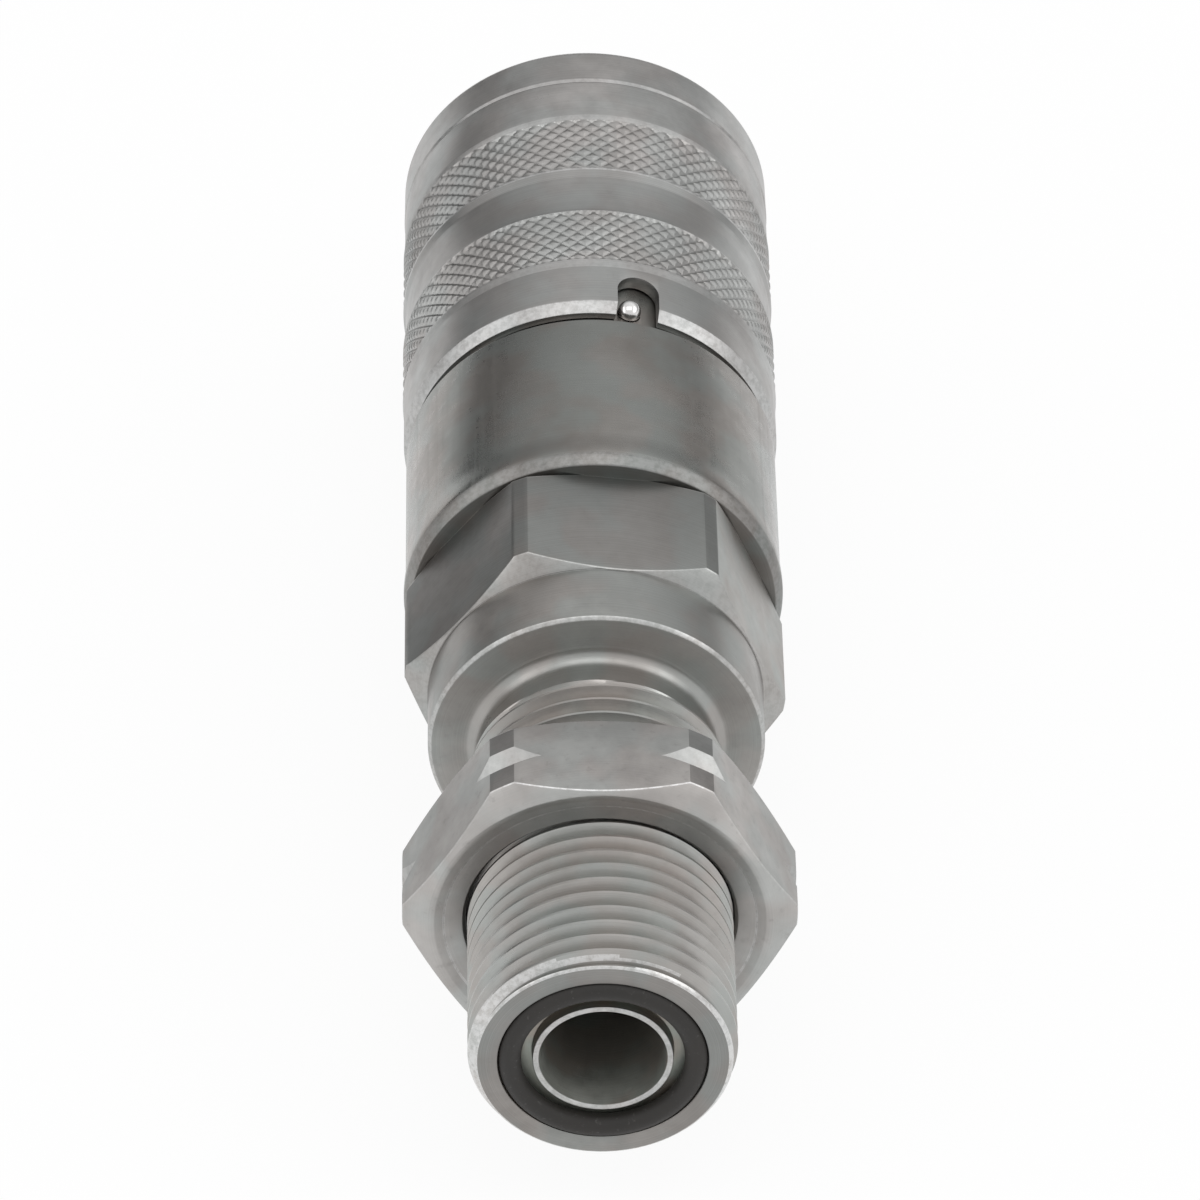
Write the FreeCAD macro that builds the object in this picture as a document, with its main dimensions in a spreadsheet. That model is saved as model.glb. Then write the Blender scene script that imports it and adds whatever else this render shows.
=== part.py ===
import FreeCAD, Part
import math
import os
import Sketcher

# Female half of a flat-face hydraulic quick disconnect coupler with a bulkhead face-seal end.
# Frame: millimetres, +Z up. The coupler lies along +Y, from the face-seal end to the mouth.
# Origin: centre of the sealing face, on the flow axis.

os.makedirs("parts", exist_ok=True)
doc = FreeCAD.newDocument("coupler")
sheet = doc.addObject("Spreadsheet::Sheet", "Sizes")
sheet.Label = "Sizes"

# Driving sizes: radii end in _rad, positions along +Y end in _pos, lengths in _len.
driving = [
    # small clearances and edges shared by several pieces
    ("edge_bevel", 0.2), ("ring_play", 0.02), ("seal_play", 0.01), ("cutter_over", 1.0),
    # face-seal end, 13/16-16 thread, O-ring 12.42 x 1.78
    ("flow_rad", 4.87), ("lip_wall", 0.49), ("groove_width", 2.64), ("groove_deep", 1.35),
    ("face_step", 0.65), ("end_bevel", 1.1), ("ring_fat", 0.89),
    ("thread_rad", 10.28), ("thread_len", 31.2), ("neck_step", 0.98), ("neck_cone", 0.8),
    ("neck_len", 2.9), ("neck_fillet", 1.2),
    # collar and wrench hex of the adapter
    ("collar_rad", 13.35), ("collar_len", 5.8), ("collar_bevel", 0.25), ("collar_bevel_len", 0.25),
    ("hex_flats", 27.0), ("hex_corner_cut", 0.34), ("hex_len", 11.2), ("hex_turn", 8.3),
    ("hex_face_step", 0.05), ("hex_bevel_len", 1.05), ("hex_rear_face_up", 0.25),
    ("hex_rear_bevel_len", 0.85),
    # adapter spigot screwed into the socket body
    ("spigot_wall", 3.2), ("spigot_len", 11.0), ("spigot_fit", 0.1), ("spigot_relief", 1.0),
    ("pilot_step", 0.4), ("pilot_len", 3.6), ("pilot_groove_deep", 1.3),
    ("pilot_groove_start", 0.7), ("pilot_groove_len", 2.2), ("cavity_gap", 0.4),
    ("cavity_lead", 2.0), ("spider_ledge", 1.0), ("spider_seat_len", 1.0),
    # locknut
    ("nut_pos", 15.2), ("nut_len", 8.4), ("nut_wall", 3.47), ("nut_corner_cut", 0.58),
    ("nut_fit", 0.1), ("nut_turn", 1.6), ("nut_face_step", 0.35), ("nut_bevel_len", 1.1),
    ("nut_sink_width", 2.4), ("nut_sink_len", 0.55), ("nut_rear_sink_width", 0.92),
    ("nut_rear_sink_len", 0.85), ("mark_deep", 0.8),
    # socket body, from the bore outwards and from the hex to the mouth
    ("socket_rad", 9.9), ("chamber_step", 0.85), ("waist_wall", 1.55), ("skirt_step", 1.85),
    ("cage_wall", 3.0), ("cage_bevel", 0.3), ("mouth_bevel", 0.6), ("barrel_len", 18.1),
    ("rear_step", 0.23), ("rim_up", 0.15), ("rim_face_step", 0.37), ("rim_bevel_len", 0.9),
    ("rim_len", 1.6), ("skirt_len", 6.4), ("waist_len", 19.5), ("mouth_len", 1.1),
    ("chamber_len", 17.2), ("guide_wall", 1.1), ("seal_groove_start", 0.3),
    ("seal_groove_len", 3.5), ("seal_groove_deep", 1.6), ("backup_len", 1.3),
    # locking balls and the split ring in front of them
    ("ball_count", 8), ("ball_rad", 1.75), ("cage_lead", 4.5), ("ball_fit", 0.1),
    ("ball_lift", 0.46), ("ball_drop", 0.95), ("ramp_play", 0.03), ("clip_lead", 3.1),
    ("clip_len", 1.2), ("clip_play", 0.05), ("clip_groove_deep", 0.7), ("clip_gap", 4.0),
    ("clip_room", 0.15), ("clip_stop", 0.1),
    # locking sleeve
    ("sleeve_gap", 1.2), ("sleeve_lip_len", 0.4), ("sleeve_fit", 0.1), ("sleeve_stroke", 3.5),
    ("spring_room", 0.2), ("land_lead", 4.0), ("land_fit", 0.1), ("ball_room", 0.5),
    ("sleeve_wall", 1.05), ("knurl_up", 0.1), ("dish_deep", 0.15), ("dish_edge_len", 0.3),
    ("sleeve_bevel", 0.55), ("sleeve_bevel_len", 0.95), ("rear_band_len", 5.4),
    ("step_len", 0.8), ("rear_knurl_len", 6.5), ("dish_len", 4.6), ("front_knurl_len", 6.8),
    ("front_band_len", 4.2), ("line_up", 0.06), ("line_len", 0.3), ("lip_bevel", 0.4),
    ("lip_bevel_len", 0.6), ("notch_angle", 15.9), ("notch_half", 1.75), ("notch_deep", 4.44),
    ("stop_ball_angle", 13.64), ("stop_ball_in", 1.0), ("stop_ball_rad", 0.95),
    ("stop_ball_up", 0.3),
    # seat washer and sleeve spring
    ("washer_len", 1.0), ("washer_play", 0.15), ("washer_gap", 0.05), ("sleeve_wire", 0.5),
    ("sleeve_coils", 6.0),
    # ball retainer and its spring
    ("retainer_fit", 0.1), ("retainer_wall", 1.45), ("retainer_inset", 0.7),
    ("flange_fit", 0.15), ("flange_len", 3.0), ("flange_gap", 0.2), ("retainer_bevel", 0.4),
    ("retainer_wire", 0.5), ("retainer_coils", 3.0),
    # valve sleeve and its spring
    ("valve_play", 0.15), ("guide_fit", 0.1), ("valve_wall", 1.2), ("valve_inset", 0.9),
    ("valve_tail_len", 1.4), ("valve_tail_bevel", 0.3), ("valve_tail_bevel_len", 0.5),
    ("valve_lip_step", 1.28), ("valve_lip_len", 3.2), ("valve_wire", 0.5),
    ("valve_coils", 2.5),
    # stem, spider and stem nut
    ("spider_fit", 0.1), ("spider_len", 2.5), ("spider_hole_count", 6),
    ("spider_hole_rad", 1.45), ("spider_hole_out", 0.1), ("stem_rad", 2.6), ("tail_rad", 2.0),
    ("tail_fit", 0.05), ("tail_end_len", 0.6), ("head_fit", 0.06), ("head_len", 2.8),
    ("head_cone_len", 2.2), ("head_groove_deep", 1.06), ("head_groove_start", 0.8),
    ("head_groove_len", 1.2), ("head_seal_fit", 0.03), ("head_seal_crown", 0.15),
    ("nut_small_flats", 6.5), ("nut_small_len", 2.4), ("nut_small_bevel_len", 0.4),
    ("nut_small_corner", 0.52),
]

# Sizes that follow from the driving ones.
derived = [
    # radii, from the bore of the socket outwards and inwards
    ("lip_rad", "=flow_rad + lip_wall"),
    ("groove_rad", "=lip_rad + groove_width"),
    ("face_rad", "=thread_rad - face_step"),
    ("neck_rad", "=thread_rad - neck_step"),
    ("hex_rad", "=hex_flats / sqrt(3) - hex_corner_cut"),
    ("hex_face_rad", "=hex_flats / 2 - hex_face_step"),
    ("hex_rear_face_rad", "=hex_flats / 2 + hex_rear_face_up"),
    ("retainer_rad", "=socket_rad - retainer_fit"),
    ("retainer_bore_rad", "=retainer_rad - retainer_wall"),
    ("valve_rad", "=retainer_bore_rad - valve_play"),
    ("valve_bore_rad", "=valve_rad - valve_wall"),
    ("valve_lip_rad", "=valve_bore_rad - valve_lip_step"),
    ("head_rad", "=valve_lip_rad - head_fit"),
    ("head_seal_rad", "=valve_lip_rad - head_seal_fit"),
    ("head_groove_rad", "=head_rad - head_groove_deep"),
    ("guide_rad", "=valve_rad + guide_fit"),
    ("seal_groove_rad", "=guide_rad + seal_groove_deep"),
    ("seal_fat", "=(seal_groove_rad - valve_rad) / 2 - seal_play"),
    ("cavity_rad", "=valve_rad + cavity_gap"),
    ("seat_rad", "=cavity_rad - spider_ledge"),
    ("spider_rad", "=cavity_rad - spider_fit"),
    ("tail_hole_rad", "=tail_rad + tail_fit"),
    ("spider_hole_pitch_rad", "=(tail_rad + spider_rad) / 2 + spider_hole_out"),
    ("spigot_rad", "=cavity_rad + spigot_wall"),
    ("spigot_bore_rad", "=spigot_rad + spigot_fit"),
    ("pilot_rad", "=spigot_rad + pilot_step"),
    ("pilot_bore_rad", "=pilot_rad + spigot_fit"),
    ("pilot_groove_rad", "=pilot_rad - pilot_groove_deep"),
    ("hex_root_rad", "=(seat_rad + pilot_rad) / 2"),
    ("chamber_rad", "=socket_rad + chamber_step"),
    ("flange_rad", "=chamber_rad - flange_fit"),
    ("waist_rad", "=chamber_rad + waist_wall"),
    ("skirt_rad", "=waist_rad + skirt_step"),
    ("cage_rad", "=socket_rad + cage_wall"),
    ("clip_groove_rad", "=cage_rad - clip_groove_deep"),
    ("clip_bore_rad", "=clip_groove_rad + clip_play"),
    ("land_rad", "=cage_rad + land_fit"),
    ("skirt_bore_rad", "=skirt_rad + sleeve_fit"),
    ("sleeve_bore_rad", "=skirt_rad + spring_room"),
    ("ball_seat", "=retainer_rad + ball_lift + ball_rad"),
    ("ramp_slope", "=ball_drop / sleeve_stroke"),
    ("ramp_slant", "=sqrt(1 + ramp_slope * ramp_slope)"),
    ("ramp_over_ball", "=ball_seat + (ball_rad + ramp_play) * ramp_slant"),
    ("clip_room_rad", "=ramp_over_ball + ball_room"),
    ("clip_rad", "=clip_room_rad - clip_room"),
    ("band_rad", "=clip_room_rad + sleeve_wall"),
    ("knurl_rad", "=band_rad + knurl_up"),
    ("dish_rad", "=band_rad - dish_deep"),
    ("dish_edge_rad", "=(dish_rad + band_rad) / 2"),
    ("sleeve_face_rad", "=band_rad - sleeve_bevel"),
    ("sleeve_lip_rad", "=band_rad - lip_bevel"),
    ("rear_rad", "=band_rad - rear_step"),
    ("rim_rad", "=rear_rad + rim_up"),
    ("rim_face_rad", "=rear_rad - rim_face_step"),
    ("stop_ball_seat", "=skirt_rad + stop_ball_up"),
    ("washer_bore_rad", "=waist_rad + washer_play"),
    ("washer_rad", "=sleeve_bore_rad - washer_play"),
    ("nut_bore_rad", "=thread_rad + nut_fit"),
    ("nut_sink_rad", "=nut_bore_rad + nut_sink_width"),
    ("nut_rear_sink_rad", "=nut_bore_rad + nut_rear_sink_width"),
    ("nut_flats", "=2 * thread_rad + 2 * nut_wall"),
    ("nut_rad", "=nut_flats / sqrt(3) - nut_corner_cut"),
    ("nut_face_rad", "=nut_flats / 2 - nut_face_step"),
    ("mark_rad", "=nut_rad - mark_deep"),
    ("nut_small_face_rad", "=nut_small_flats / 2"),
    ("nut_small_rad", "=nut_small_face_rad + nut_small_corner"),
    # positions, from the sealing face to the mouth
    ("nut_end", "=nut_pos + nut_len"),
    ("nut_mid", "=nut_pos + nut_len / 2"),
    ("thread_end", "=end_bevel + thread_len"),
    ("neck_pos", "=thread_end + neck_cone"),
    ("shoulder_pos", "=neck_pos + neck_len"),
    ("hex_pos", "=shoulder_pos + collar_len"),
    ("joint_pos", "=hex_pos + hex_len"),
    ("spigot_end", "=joint_pos + spigot_len"),
    ("spigot_bore_end", "=spigot_end + spigot_relief"),
    ("pilot_end", "=joint_pos + pilot_len"),
    ("pilot_groove_pos", "=joint_pos + pilot_groove_start"),
    ("pilot_groove_end", "=pilot_groove_pos + pilot_groove_len"),
    ("spider_pos", "=joint_pos + spider_seat_len"),
    ("spider_end", "=spider_pos + spider_len"),
    ("cavity_start", "=spider_pos - cavity_lead"),
    ("flow_end", "=cavity_start - seat_rad + flow_rad"),
    ("nut_small_pos", "=spider_pos - nut_small_len"),
    ("tail_pos", "=nut_small_pos - tail_end_len"),
    ("step_pos", "=joint_pos + barrel_len"),
    ("seal_groove_pos", "=step_pos + seal_groove_start"),
    ("seal_groove_end", "=seal_groove_pos + seal_groove_len"),
    ("backup_start", "=seal_groove_end - backup_len"),
    ("chamber_pos", "=seal_groove_end + guide_wall"),
    ("chamber_end", "=chamber_pos + chamber_len"),
    ("skirt_end", "=step_pos + skirt_len"),
    ("cage_pos", "=skirt_end + waist_len"),
    ("ball_pos", "=cage_pos + cage_lead"),
    ("clip_pos", "=ball_pos + clip_lead"),
    ("clip_end", "=clip_pos + clip_len"),
    ("clip_groove_start", "=clip_pos - clip_play"),
    ("clip_groove_end", "=clip_end + clip_play"),
    ("mouth_pos", "=clip_end + mouth_len"),
    ("sleeve_pos", "=step_pos + sleeve_gap"),
    ("sleeve_end", "=mouth_pos + sleeve_lip_len"),
    ("sleeve_step_pos", "=cage_pos - land_lead"),
    ("ramp_pos", "=ball_pos - (ramp_over_ball - land_rad) / ramp_slope"),
    ("clip_room_pos", "=clip_pos - sleeve_stroke - clip_stop"),
    ("ramp_end_rad", "=ramp_over_ball - (ball_pos - clip_room_pos) * ramp_slope"),
    ("sleeve_bevel_end", "=sleeve_pos + sleeve_bevel_len"),
    ("rear_band_end", "=sleeve_pos + rear_band_len"),
    ("rear_knurl_pos", "=rear_band_end + step_len"),
    ("rear_knurl_end", "=rear_knurl_pos + rear_knurl_len"),
    ("dish_pos", "=rear_knurl_end + dish_edge_len"),
    ("dish_mid", "=dish_pos + dish_len / 2"),
    ("dish_end", "=dish_pos + dish_len"),
    ("front_knurl_pos", "=dish_end + step_len"),
    ("front_knurl_end", "=front_knurl_pos + front_knurl_len"),
    ("middle_band_pos", "=front_knurl_end + step_len"),
    ("front_band_pos", "=sleeve_end - front_band_len"),
    ("sleeve_lip_pos", "=sleeve_end - lip_bevel_len"),
    ("stop_ball_pos", "=sleeve_pos + stop_ball_in"),
    ("washer_end", "=sleeve_step_pos - washer_gap"),
    ("washer_start", "=washer_end - washer_len"),
    ("retainer_front", "=mouth_pos - retainer_inset"),
    ("flange_end", "=chamber_end - flange_gap"),
    ("retainer_rear", "=flange_end - flange_len"),
    ("valve_front", "=mouth_pos - valve_inset"),
    ("valve_rear", "=seal_groove_pos - valve_tail_len"),
    ("valve_lip_pos", "=valve_front - valve_lip_len"),
    ("head_pos", "=valve_front - head_len"),
    ("head_cone_pos", "=head_pos - head_cone_len"),
    ("head_groove_pos", "=head_pos + head_groove_start"),
    ("head_groove_end", "=head_groove_pos + head_groove_len"),
    ("head_seal_start", "=head_groove_pos + ring_play"),
    ("head_seal_end", "=head_groove_end - ring_play"),
]
row = 0
for name, number in driving:
    row += 1
    sheet.set("A%d" % row, name)
    sheet.set("B%d" % row, str(number))
    sheet.setAlias("B%d" % row, name)
for name, formula in derived:
    row += 1
    sheet.set("A%d" % row, name)
    sheet.set("B%d" % row, formula)
    sheet.setAlias("B%d" % row, name)
doc.recompute()
names = {name for name, _ in driving} | {name for name, _ in derived}


def size(name):
    return float(sheet.get(name))


def number(text):
    """Value of a sum such as "hex_pos + 0.5*nut_len - 1"."""
    total = 0.0
    sign = 1.0
    for token in text.split():
        if token == "+":
            sign = 1.0
        elif token == "-":
            sign = -1.0
        else:
            product = 1.0
            for factor in token.split("*"):
                product *= size(factor) if factor in names else float(factor)
            total += sign * product
            sign = 1.0
    return total


def bound(text):
    """The same sum as an expression that reads the sheet."""
    words = []
    for token in text.split():
        factors = ["Sizes." + f if f in names else f for f in token.split("*")]
        words.append("*".join(factors))
    return " ".join(words)


def fix_point(sketch, line, across, up):
    """Pins the start of a line at two named sums from the sketch's origin."""
    for kind, text, axis in (("DistanceX", across, -2), ("DistanceY", up, -1)):
        value = number(text)
        if abs(value) < 1e-9:
            sketch.addConstraint(Sketcher.Constraint("PointOnObject", line, 1, axis))
            continue
        index = sketch.addConstraint(Sketcher.Constraint(kind, -1, 1, line, 1, value))
        label = "%s%d" % (kind[-1].lower() + "_of_point_", line)
        sketch.renameConstraint(index, label)
        sketch.setExpression("Constraints." + label, bound(text))


def turned(label, outline):
    """A body turned about the Y axis from a closed outline of (radius, position) sums."""
    body = doc.addObject("PartDesign::Body", label)
    sketch = body.newObject("Sketcher::SketchObject", label + "_outline")
    plane = [f for f in body.Origin.OriginFeatures if f.Role == "XY_Plane"][0]
    sketch.AttachmentSupport = (plane, [""])
    sketch.MapMode = "FlatFace"
    corners = [FreeCAD.Vector(number(r), number(y), 0) for r, y in outline]
    count = len(corners)
    for i in range(count):
        sketch.addGeometry(Part.LineSegment(corners[i], corners[(i + 1) % count]), False)
    for i in range(count):
        sketch.addConstraint(Sketcher.Constraint("Coincident", i, 2, (i + 1) % count, 1))
    for i, (r, y) in enumerate(outline):
        fix_point(sketch, i, r, y)
    turn = body.newObject("PartDesign::Revolution", label + "_turn")
    turn.Profile = sketch
    turn.ReferenceAxis = (sketch, ["V_Axis"])
    turn.Angle = 360
    body.Tip = turn
    doc.recompute()
    return body


def along_y(angle=0.0):
    """Rotation that lays a Z-built primitive along +Y, then turns it about Y."""
    lay = FreeCAD.Rotation(FreeCAD.Vector(1, 0, 0), -90)
    return FreeCAD.Rotation(FreeCAD.Vector(0, 1, 0), angle).multiply(lay)


def radial(angle):
    """Rotation that points a Z-built primitive outwards at an angle from +Z towards +X."""
    return FreeCAD.Rotation(FreeCAD.Vector(0, 1, 0), angle)


def spot(radius, position, angle):
    """Point at a radius and position, at an angle from +Z towards +X."""
    turn = math.radians(angle)
    return FreeCAD.Vector(radius * math.sin(turn), position, radius * math.cos(turn))


def hex_bar(label, flats, start, length, angle):
    bar = doc.addObject("Part::Prism", label)
    bar.Polygon = 6
    bar.setExpression("Circumradius", "Sizes.%s / sqrt(3)" % flats)
    bar.setExpression("Height", bound(length))
    bar.Placement = FreeCAD.Placement(FreeCAD.Vector(0, number(start), 0), along_y(number(angle)))
    return bar


def rod(label, radius, length, placement):
    made = doc.addObject("Part::Cylinder", label)
    made.setExpression("Radius", bound(radius))
    made.setExpression("Height", bound(length))
    made.Placement = placement
    return made


def common(label, base, tool):
    made = doc.addObject("Part::Common", label)
    made.Base = base
    made.Tool = tool
    return made


def fused(label, shapes):
    made = doc.addObject("Part::MultiFuse", label)
    made.Shapes = shapes
    made.Refine = True
    return made


def cut(label, base, tools):
    made = doc.addObject("Part::Cut", label)
    made.Base = base
    if len(tools) == 1:
        made.Tool = tools[0]
    else:
        made.Tool = fused(label + "_tools", tools)
    return made


def ring(label, middle, fat, position):
    made = doc.addObject("Part::Torus", label)
    made.setExpression("Radius1", bound(middle))
    made.setExpression("Radius2", bound(fat))
    made.Placement = FreeCAD.Placement(FreeCAD.Vector(0, number(position), 0), along_y())
    return made


def ball(label, radius, seat, position, angle):
    made = doc.addObject("Part::Sphere", label)
    made.setExpression("Radius", bound(radius))
    made.Placement = FreeCAD.Placement(spot(number(seat), number(position), angle), FreeCAD.Rotation())
    return made


def coil(label, middle, wire, start, end, turns):
    """A round-wire spring between two faces, each end turn resting on its face."""
    middle = number(middle)
    wire = number(wire)
    low = number(start) + wire
    high = number(end) - wire
    pitch = (high - low) / number(turns)
    spine = Part.Wire(Part.makeHelix(pitch, high - low, middle).Edges)
    tangent = FreeCAD.Vector(0, middle, pitch / (2 * math.pi))
    section = Part.Wire([Part.makeCircle(wire, FreeCAD.Vector(middle, 0, 0), tangent)])
    made = doc.addObject("Part::Feature", label)
    made.Shape = spine.makePipeShell([section], True, True)
    made.Placement = FreeCAD.Placement(FreeCAD.Vector(0, low, 0), along_y())
    return made


nodes = []

# Adapter: sealing face with its ring groove, long bulkhead thread, neck, collar, hex and spigot.
fillet_steps = 5
fillet = []
for step in range(fillet_steps + 1):
    swing = math.pi / 2 * step / fillet_steps
    fillet.append((
        "neck_rad + %.6f*neck_fillet" % (1 - math.cos(swing)),
        "shoulder_pos - %.6f*neck_fillet" % (1 - math.sin(swing)),
    ))
adapter_turned = turned("adapter_turned", [
    ("flow_rad", "0"), ("lip_rad", "0"), ("lip_rad", "groove_deep"),
    ("groove_rad", "groove_deep"), ("groove_rad", "0"), ("face_rad", "0"),
    ("thread_rad", "end_bevel"), ("thread_rad", "thread_end"), ("neck_rad", "neck_pos"),
] + fillet + [
    ("collar_rad - collar_bevel", "shoulder_pos"),
    ("collar_rad", "shoulder_pos + collar_bevel_len"), ("collar_rad", "hex_pos"),
    ("pilot_rad", "hex_pos"), ("pilot_rad", "pilot_groove_pos"),
    ("pilot_groove_rad", "pilot_groove_pos"), ("pilot_groove_rad", "pilot_groove_end"),
    ("pilot_rad", "pilot_groove_end"), ("pilot_rad", "pilot_end"), ("spigot_rad", "pilot_end"),
    ("spigot_rad", "spigot_end"), ("cavity_rad", "spigot_end"), ("cavity_rad", "spider_pos"),
    ("seat_rad", "spider_pos"), ("seat_rad", "cavity_start"), ("flow_rad", "flow_end"),
])
hex_turned = turned("hex_turned", [
    ("hex_root_rad", "hex_pos"), ("hex_face_rad", "hex_pos"),
    ("hex_rad", "hex_pos + hex_bevel_len"), ("hex_rad", "joint_pos - hex_rear_bevel_len"),
    ("hex_rear_face_rad", "joint_pos"), ("hex_root_rad", "joint_pos"),
])
adapter_bar = hex_bar(
    "adapter_bar", "hex_flats", "hex_pos - cutter_over", "hex_len + 2*cutter_over", "hex_turn")
adapter_hex = common("adapter_hex", hex_turned, adapter_bar)
nodes.append(fused("orfs_adapter", [adapter_turned, adapter_hex]))
nodes.append(ring(
    "face_seal_oring", "groove_rad - ring_fat - ring_play", "ring_fat",
    "groove_deep - ring_fat - ring_play",
))

# Locknut: turned hex with bevelled corners, thread countersinks and a V mark round the corners.
nut_turned = turned("nut_turned", [
    ("nut_sink_rad", "nut_pos"), ("nut_face_rad", "nut_pos"),
    ("nut_rad", "nut_pos + nut_bevel_len"), ("nut_rad", "nut_mid - mark_deep"),
    ("mark_rad", "nut_mid"), ("nut_rad", "nut_mid + mark_deep"),
    ("nut_rad", "nut_end - nut_bevel_len"), ("nut_face_rad", "nut_end"),
    ("nut_rear_sink_rad", "nut_end"), ("nut_bore_rad", "nut_end - nut_rear_sink_len"),
    ("nut_bore_rad", "nut_pos + nut_sink_len"),
])
nut_bar = hex_bar(
    "nut_bar", "nut_flats", "nut_pos - cutter_over", "nut_len + 2*cutter_over", "nut_turn")
nodes.append(common("bulkhead_locknut", nut_turned, nut_bar))

# Ring that seals the adapter's pilot in the socket body.
nodes.append(ring(
    "adapter_oring", "0.5*pilot_groove_rad + 0.5*pilot_bore_rad",
    "0.5*pilot_bore_rad - 0.5*pilot_groove_rad - ring_play",
    "0.5*pilot_groove_pos + 0.5*pilot_groove_end",
))

# Socket body: rear barrel, skirt land, waist under the sleeve spring and ball cage at the mouth.
body_turned = turned("body_turned", [
    ("pilot_bore_rad", "joint_pos"), ("rim_face_rad", "joint_pos"),
    ("rim_rad", "joint_pos + rim_bevel_len"), ("rim_rad", "joint_pos + rim_len"),
    ("rear_rad", "joint_pos + 2*rim_len"), ("rear_rad", "step_pos - edge_bevel"),
    ("rear_rad - edge_bevel", "step_pos"), ("skirt_rad", "step_pos"), ("skirt_rad", "skirt_end"),
    ("waist_rad", "skirt_end"), ("waist_rad", "cage_pos"), ("cage_rad", "cage_pos"),
    ("cage_rad", "clip_groove_start"), ("clip_groove_rad", "clip_groove_start"),
    ("clip_groove_rad", "clip_groove_end"), ("cage_rad", "clip_groove_end"),
    ("cage_rad", "mouth_pos - cage_bevel"), ("cage_rad - cage_bevel", "mouth_pos"),
    ("socket_rad + mouth_bevel", "mouth_pos"), ("socket_rad", "mouth_pos - mouth_bevel"),
    ("socket_rad", "chamber_end"), ("chamber_rad", "chamber_end"),
    ("chamber_rad", "chamber_pos"), ("guide_rad", "chamber_pos"),
    ("guide_rad", "seal_groove_end"), ("seal_groove_rad", "seal_groove_end"),
    ("seal_groove_rad", "seal_groove_pos"), ("guide_rad", "seal_groove_pos"),
    ("guide_rad", "spigot_bore_end"), ("spigot_bore_rad", "spigot_bore_end"),
    ("spigot_bore_rad", "pilot_end"), ("pilot_bore_rad", "pilot_end"),
])
count = int(size("ball_count"))
angles = [360.0 * i / count + 180.0 / count for i in range(count)]
holes = []
for i, angle in enumerate(angles):
    base = spot(number("socket_rad - cutter_over"), size("ball_pos"), angle)
    place = FreeCAD.Placement(base, radial(angle))
    holes.append(rod(
        "ball_hole_%d" % (i + 1), "ball_rad + ball_fit", "cage_wall + 2*cutter_over", place))
stop_pocket = ball(
    "stop_ball_pocket", "stop_ball_rad + ring_play", "stop_ball_seat", "stop_ball_pos",
    size("stop_ball_angle"))
nodes.append(cut("socket_body", body_turned, holes + [stop_pocket]))
nodes.append(ball(
    "sleeve_stop_ball", "stop_ball_rad", "stop_ball_seat", "stop_ball_pos",
    size("stop_ball_angle")))
for i, angle in enumerate(angles):
    nodes.append(ball("locking_ball_%d" % (i + 1), "ball_rad", "ball_seat", "ball_pos", angle))

# Split ring in the cage's groove, the sleeve's front stop.
clip_turned = turned("clip_turned", [
    ("clip_bore_rad", "clip_pos"), ("clip_rad", "clip_pos"), ("clip_rad", "clip_end"),
    ("clip_bore_rad", "clip_end"),
])
clip_slot = doc.addObject("Part::Box", "clip_slot")
clip_slot.setExpression("Length", "Sizes.clip_gap")
clip_slot.setExpression("Width", bound("clip_len + 2*cutter_over"))
clip_slot.setExpression("Height", bound("clip_rad + cutter_over"))
clip_slot.Placement = FreeCAD.Placement(
    FreeCAD.Vector(
        number("0 - 0.5*clip_gap"), number("clip_pos - cutter_over"),
        number("0 - clip_rad - cutter_over")),
    FreeCAD.Rotation())
nodes.append(cut("sleeve_retaining_ring", clip_turned, [clip_slot]))

# Locking sleeve: grip bands outside; skirt bore, spring room, land, ball ramp and ring room inside.
sleeve_turned = turned("sleeve_turned", [
    ("skirt_bore_rad", "sleeve_pos"), ("sleeve_face_rad", "sleeve_pos"),
    ("band_rad", "sleeve_bevel_end"), ("band_rad", "rear_band_end"),
    ("knurl_rad", "rear_knurl_pos"), ("knurl_rad", "rear_knurl_end"),
    ("dish_edge_rad", "dish_pos"), ("dish_rad", "dish_mid"), ("dish_edge_rad", "dish_end"),
    ("knurl_rad", "front_knurl_pos"), ("knurl_rad", "front_knurl_end"),
    ("band_rad", "middle_band_pos"), ("band_rad", "front_band_pos - line_len"),
    ("band_rad + line_up", "front_band_pos"), ("band_rad", "sleeve_lip_pos"),
    ("sleeve_lip_rad", "sleeve_end"), ("clip_room_rad", "sleeve_end"),
    ("clip_room_rad", "clip_room_pos"), ("ramp_end_rad", "clip_room_pos"),
    ("land_rad", "ramp_pos"), ("land_rad", "sleeve_step_pos"),
    ("sleeve_bore_rad", "sleeve_step_pos"), ("sleeve_bore_rad", "skirt_end"),
    ("skirt_bore_rad", "skirt_end - edge_bevel"),
])
turn = size("notch_angle")
notch_floor = number("skirt_rad - cutter_over")
notch_height = "knurl_rad - skirt_rad + 2*cutter_over"
notch_round = rod(
    "notch_round", "notch_half", notch_height,
    FreeCAD.Placement(
        spot(notch_floor, number("sleeve_pos + notch_deep - notch_half"), turn), radial(turn)))
notch_slot = doc.addObject("Part::Box", "notch_slot")
notch_slot.setExpression("Length", bound("2*notch_half"))
notch_slot.setExpression("Width", bound("notch_deep - notch_half + cutter_over"))
notch_slot.setExpression("Height", bound(notch_height))
corner = radial(turn).multVec(FreeCAD.Vector(number("0 - notch_half"), 0, notch_floor))
notch_slot.Placement = FreeCAD.Placement(
    corner + FreeCAD.Vector(0, number("sleeve_pos - cutter_over"), 0), radial(turn))
nodes.append(cut("locking_sleeve", sleeve_turned, [notch_round, notch_slot]))

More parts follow.
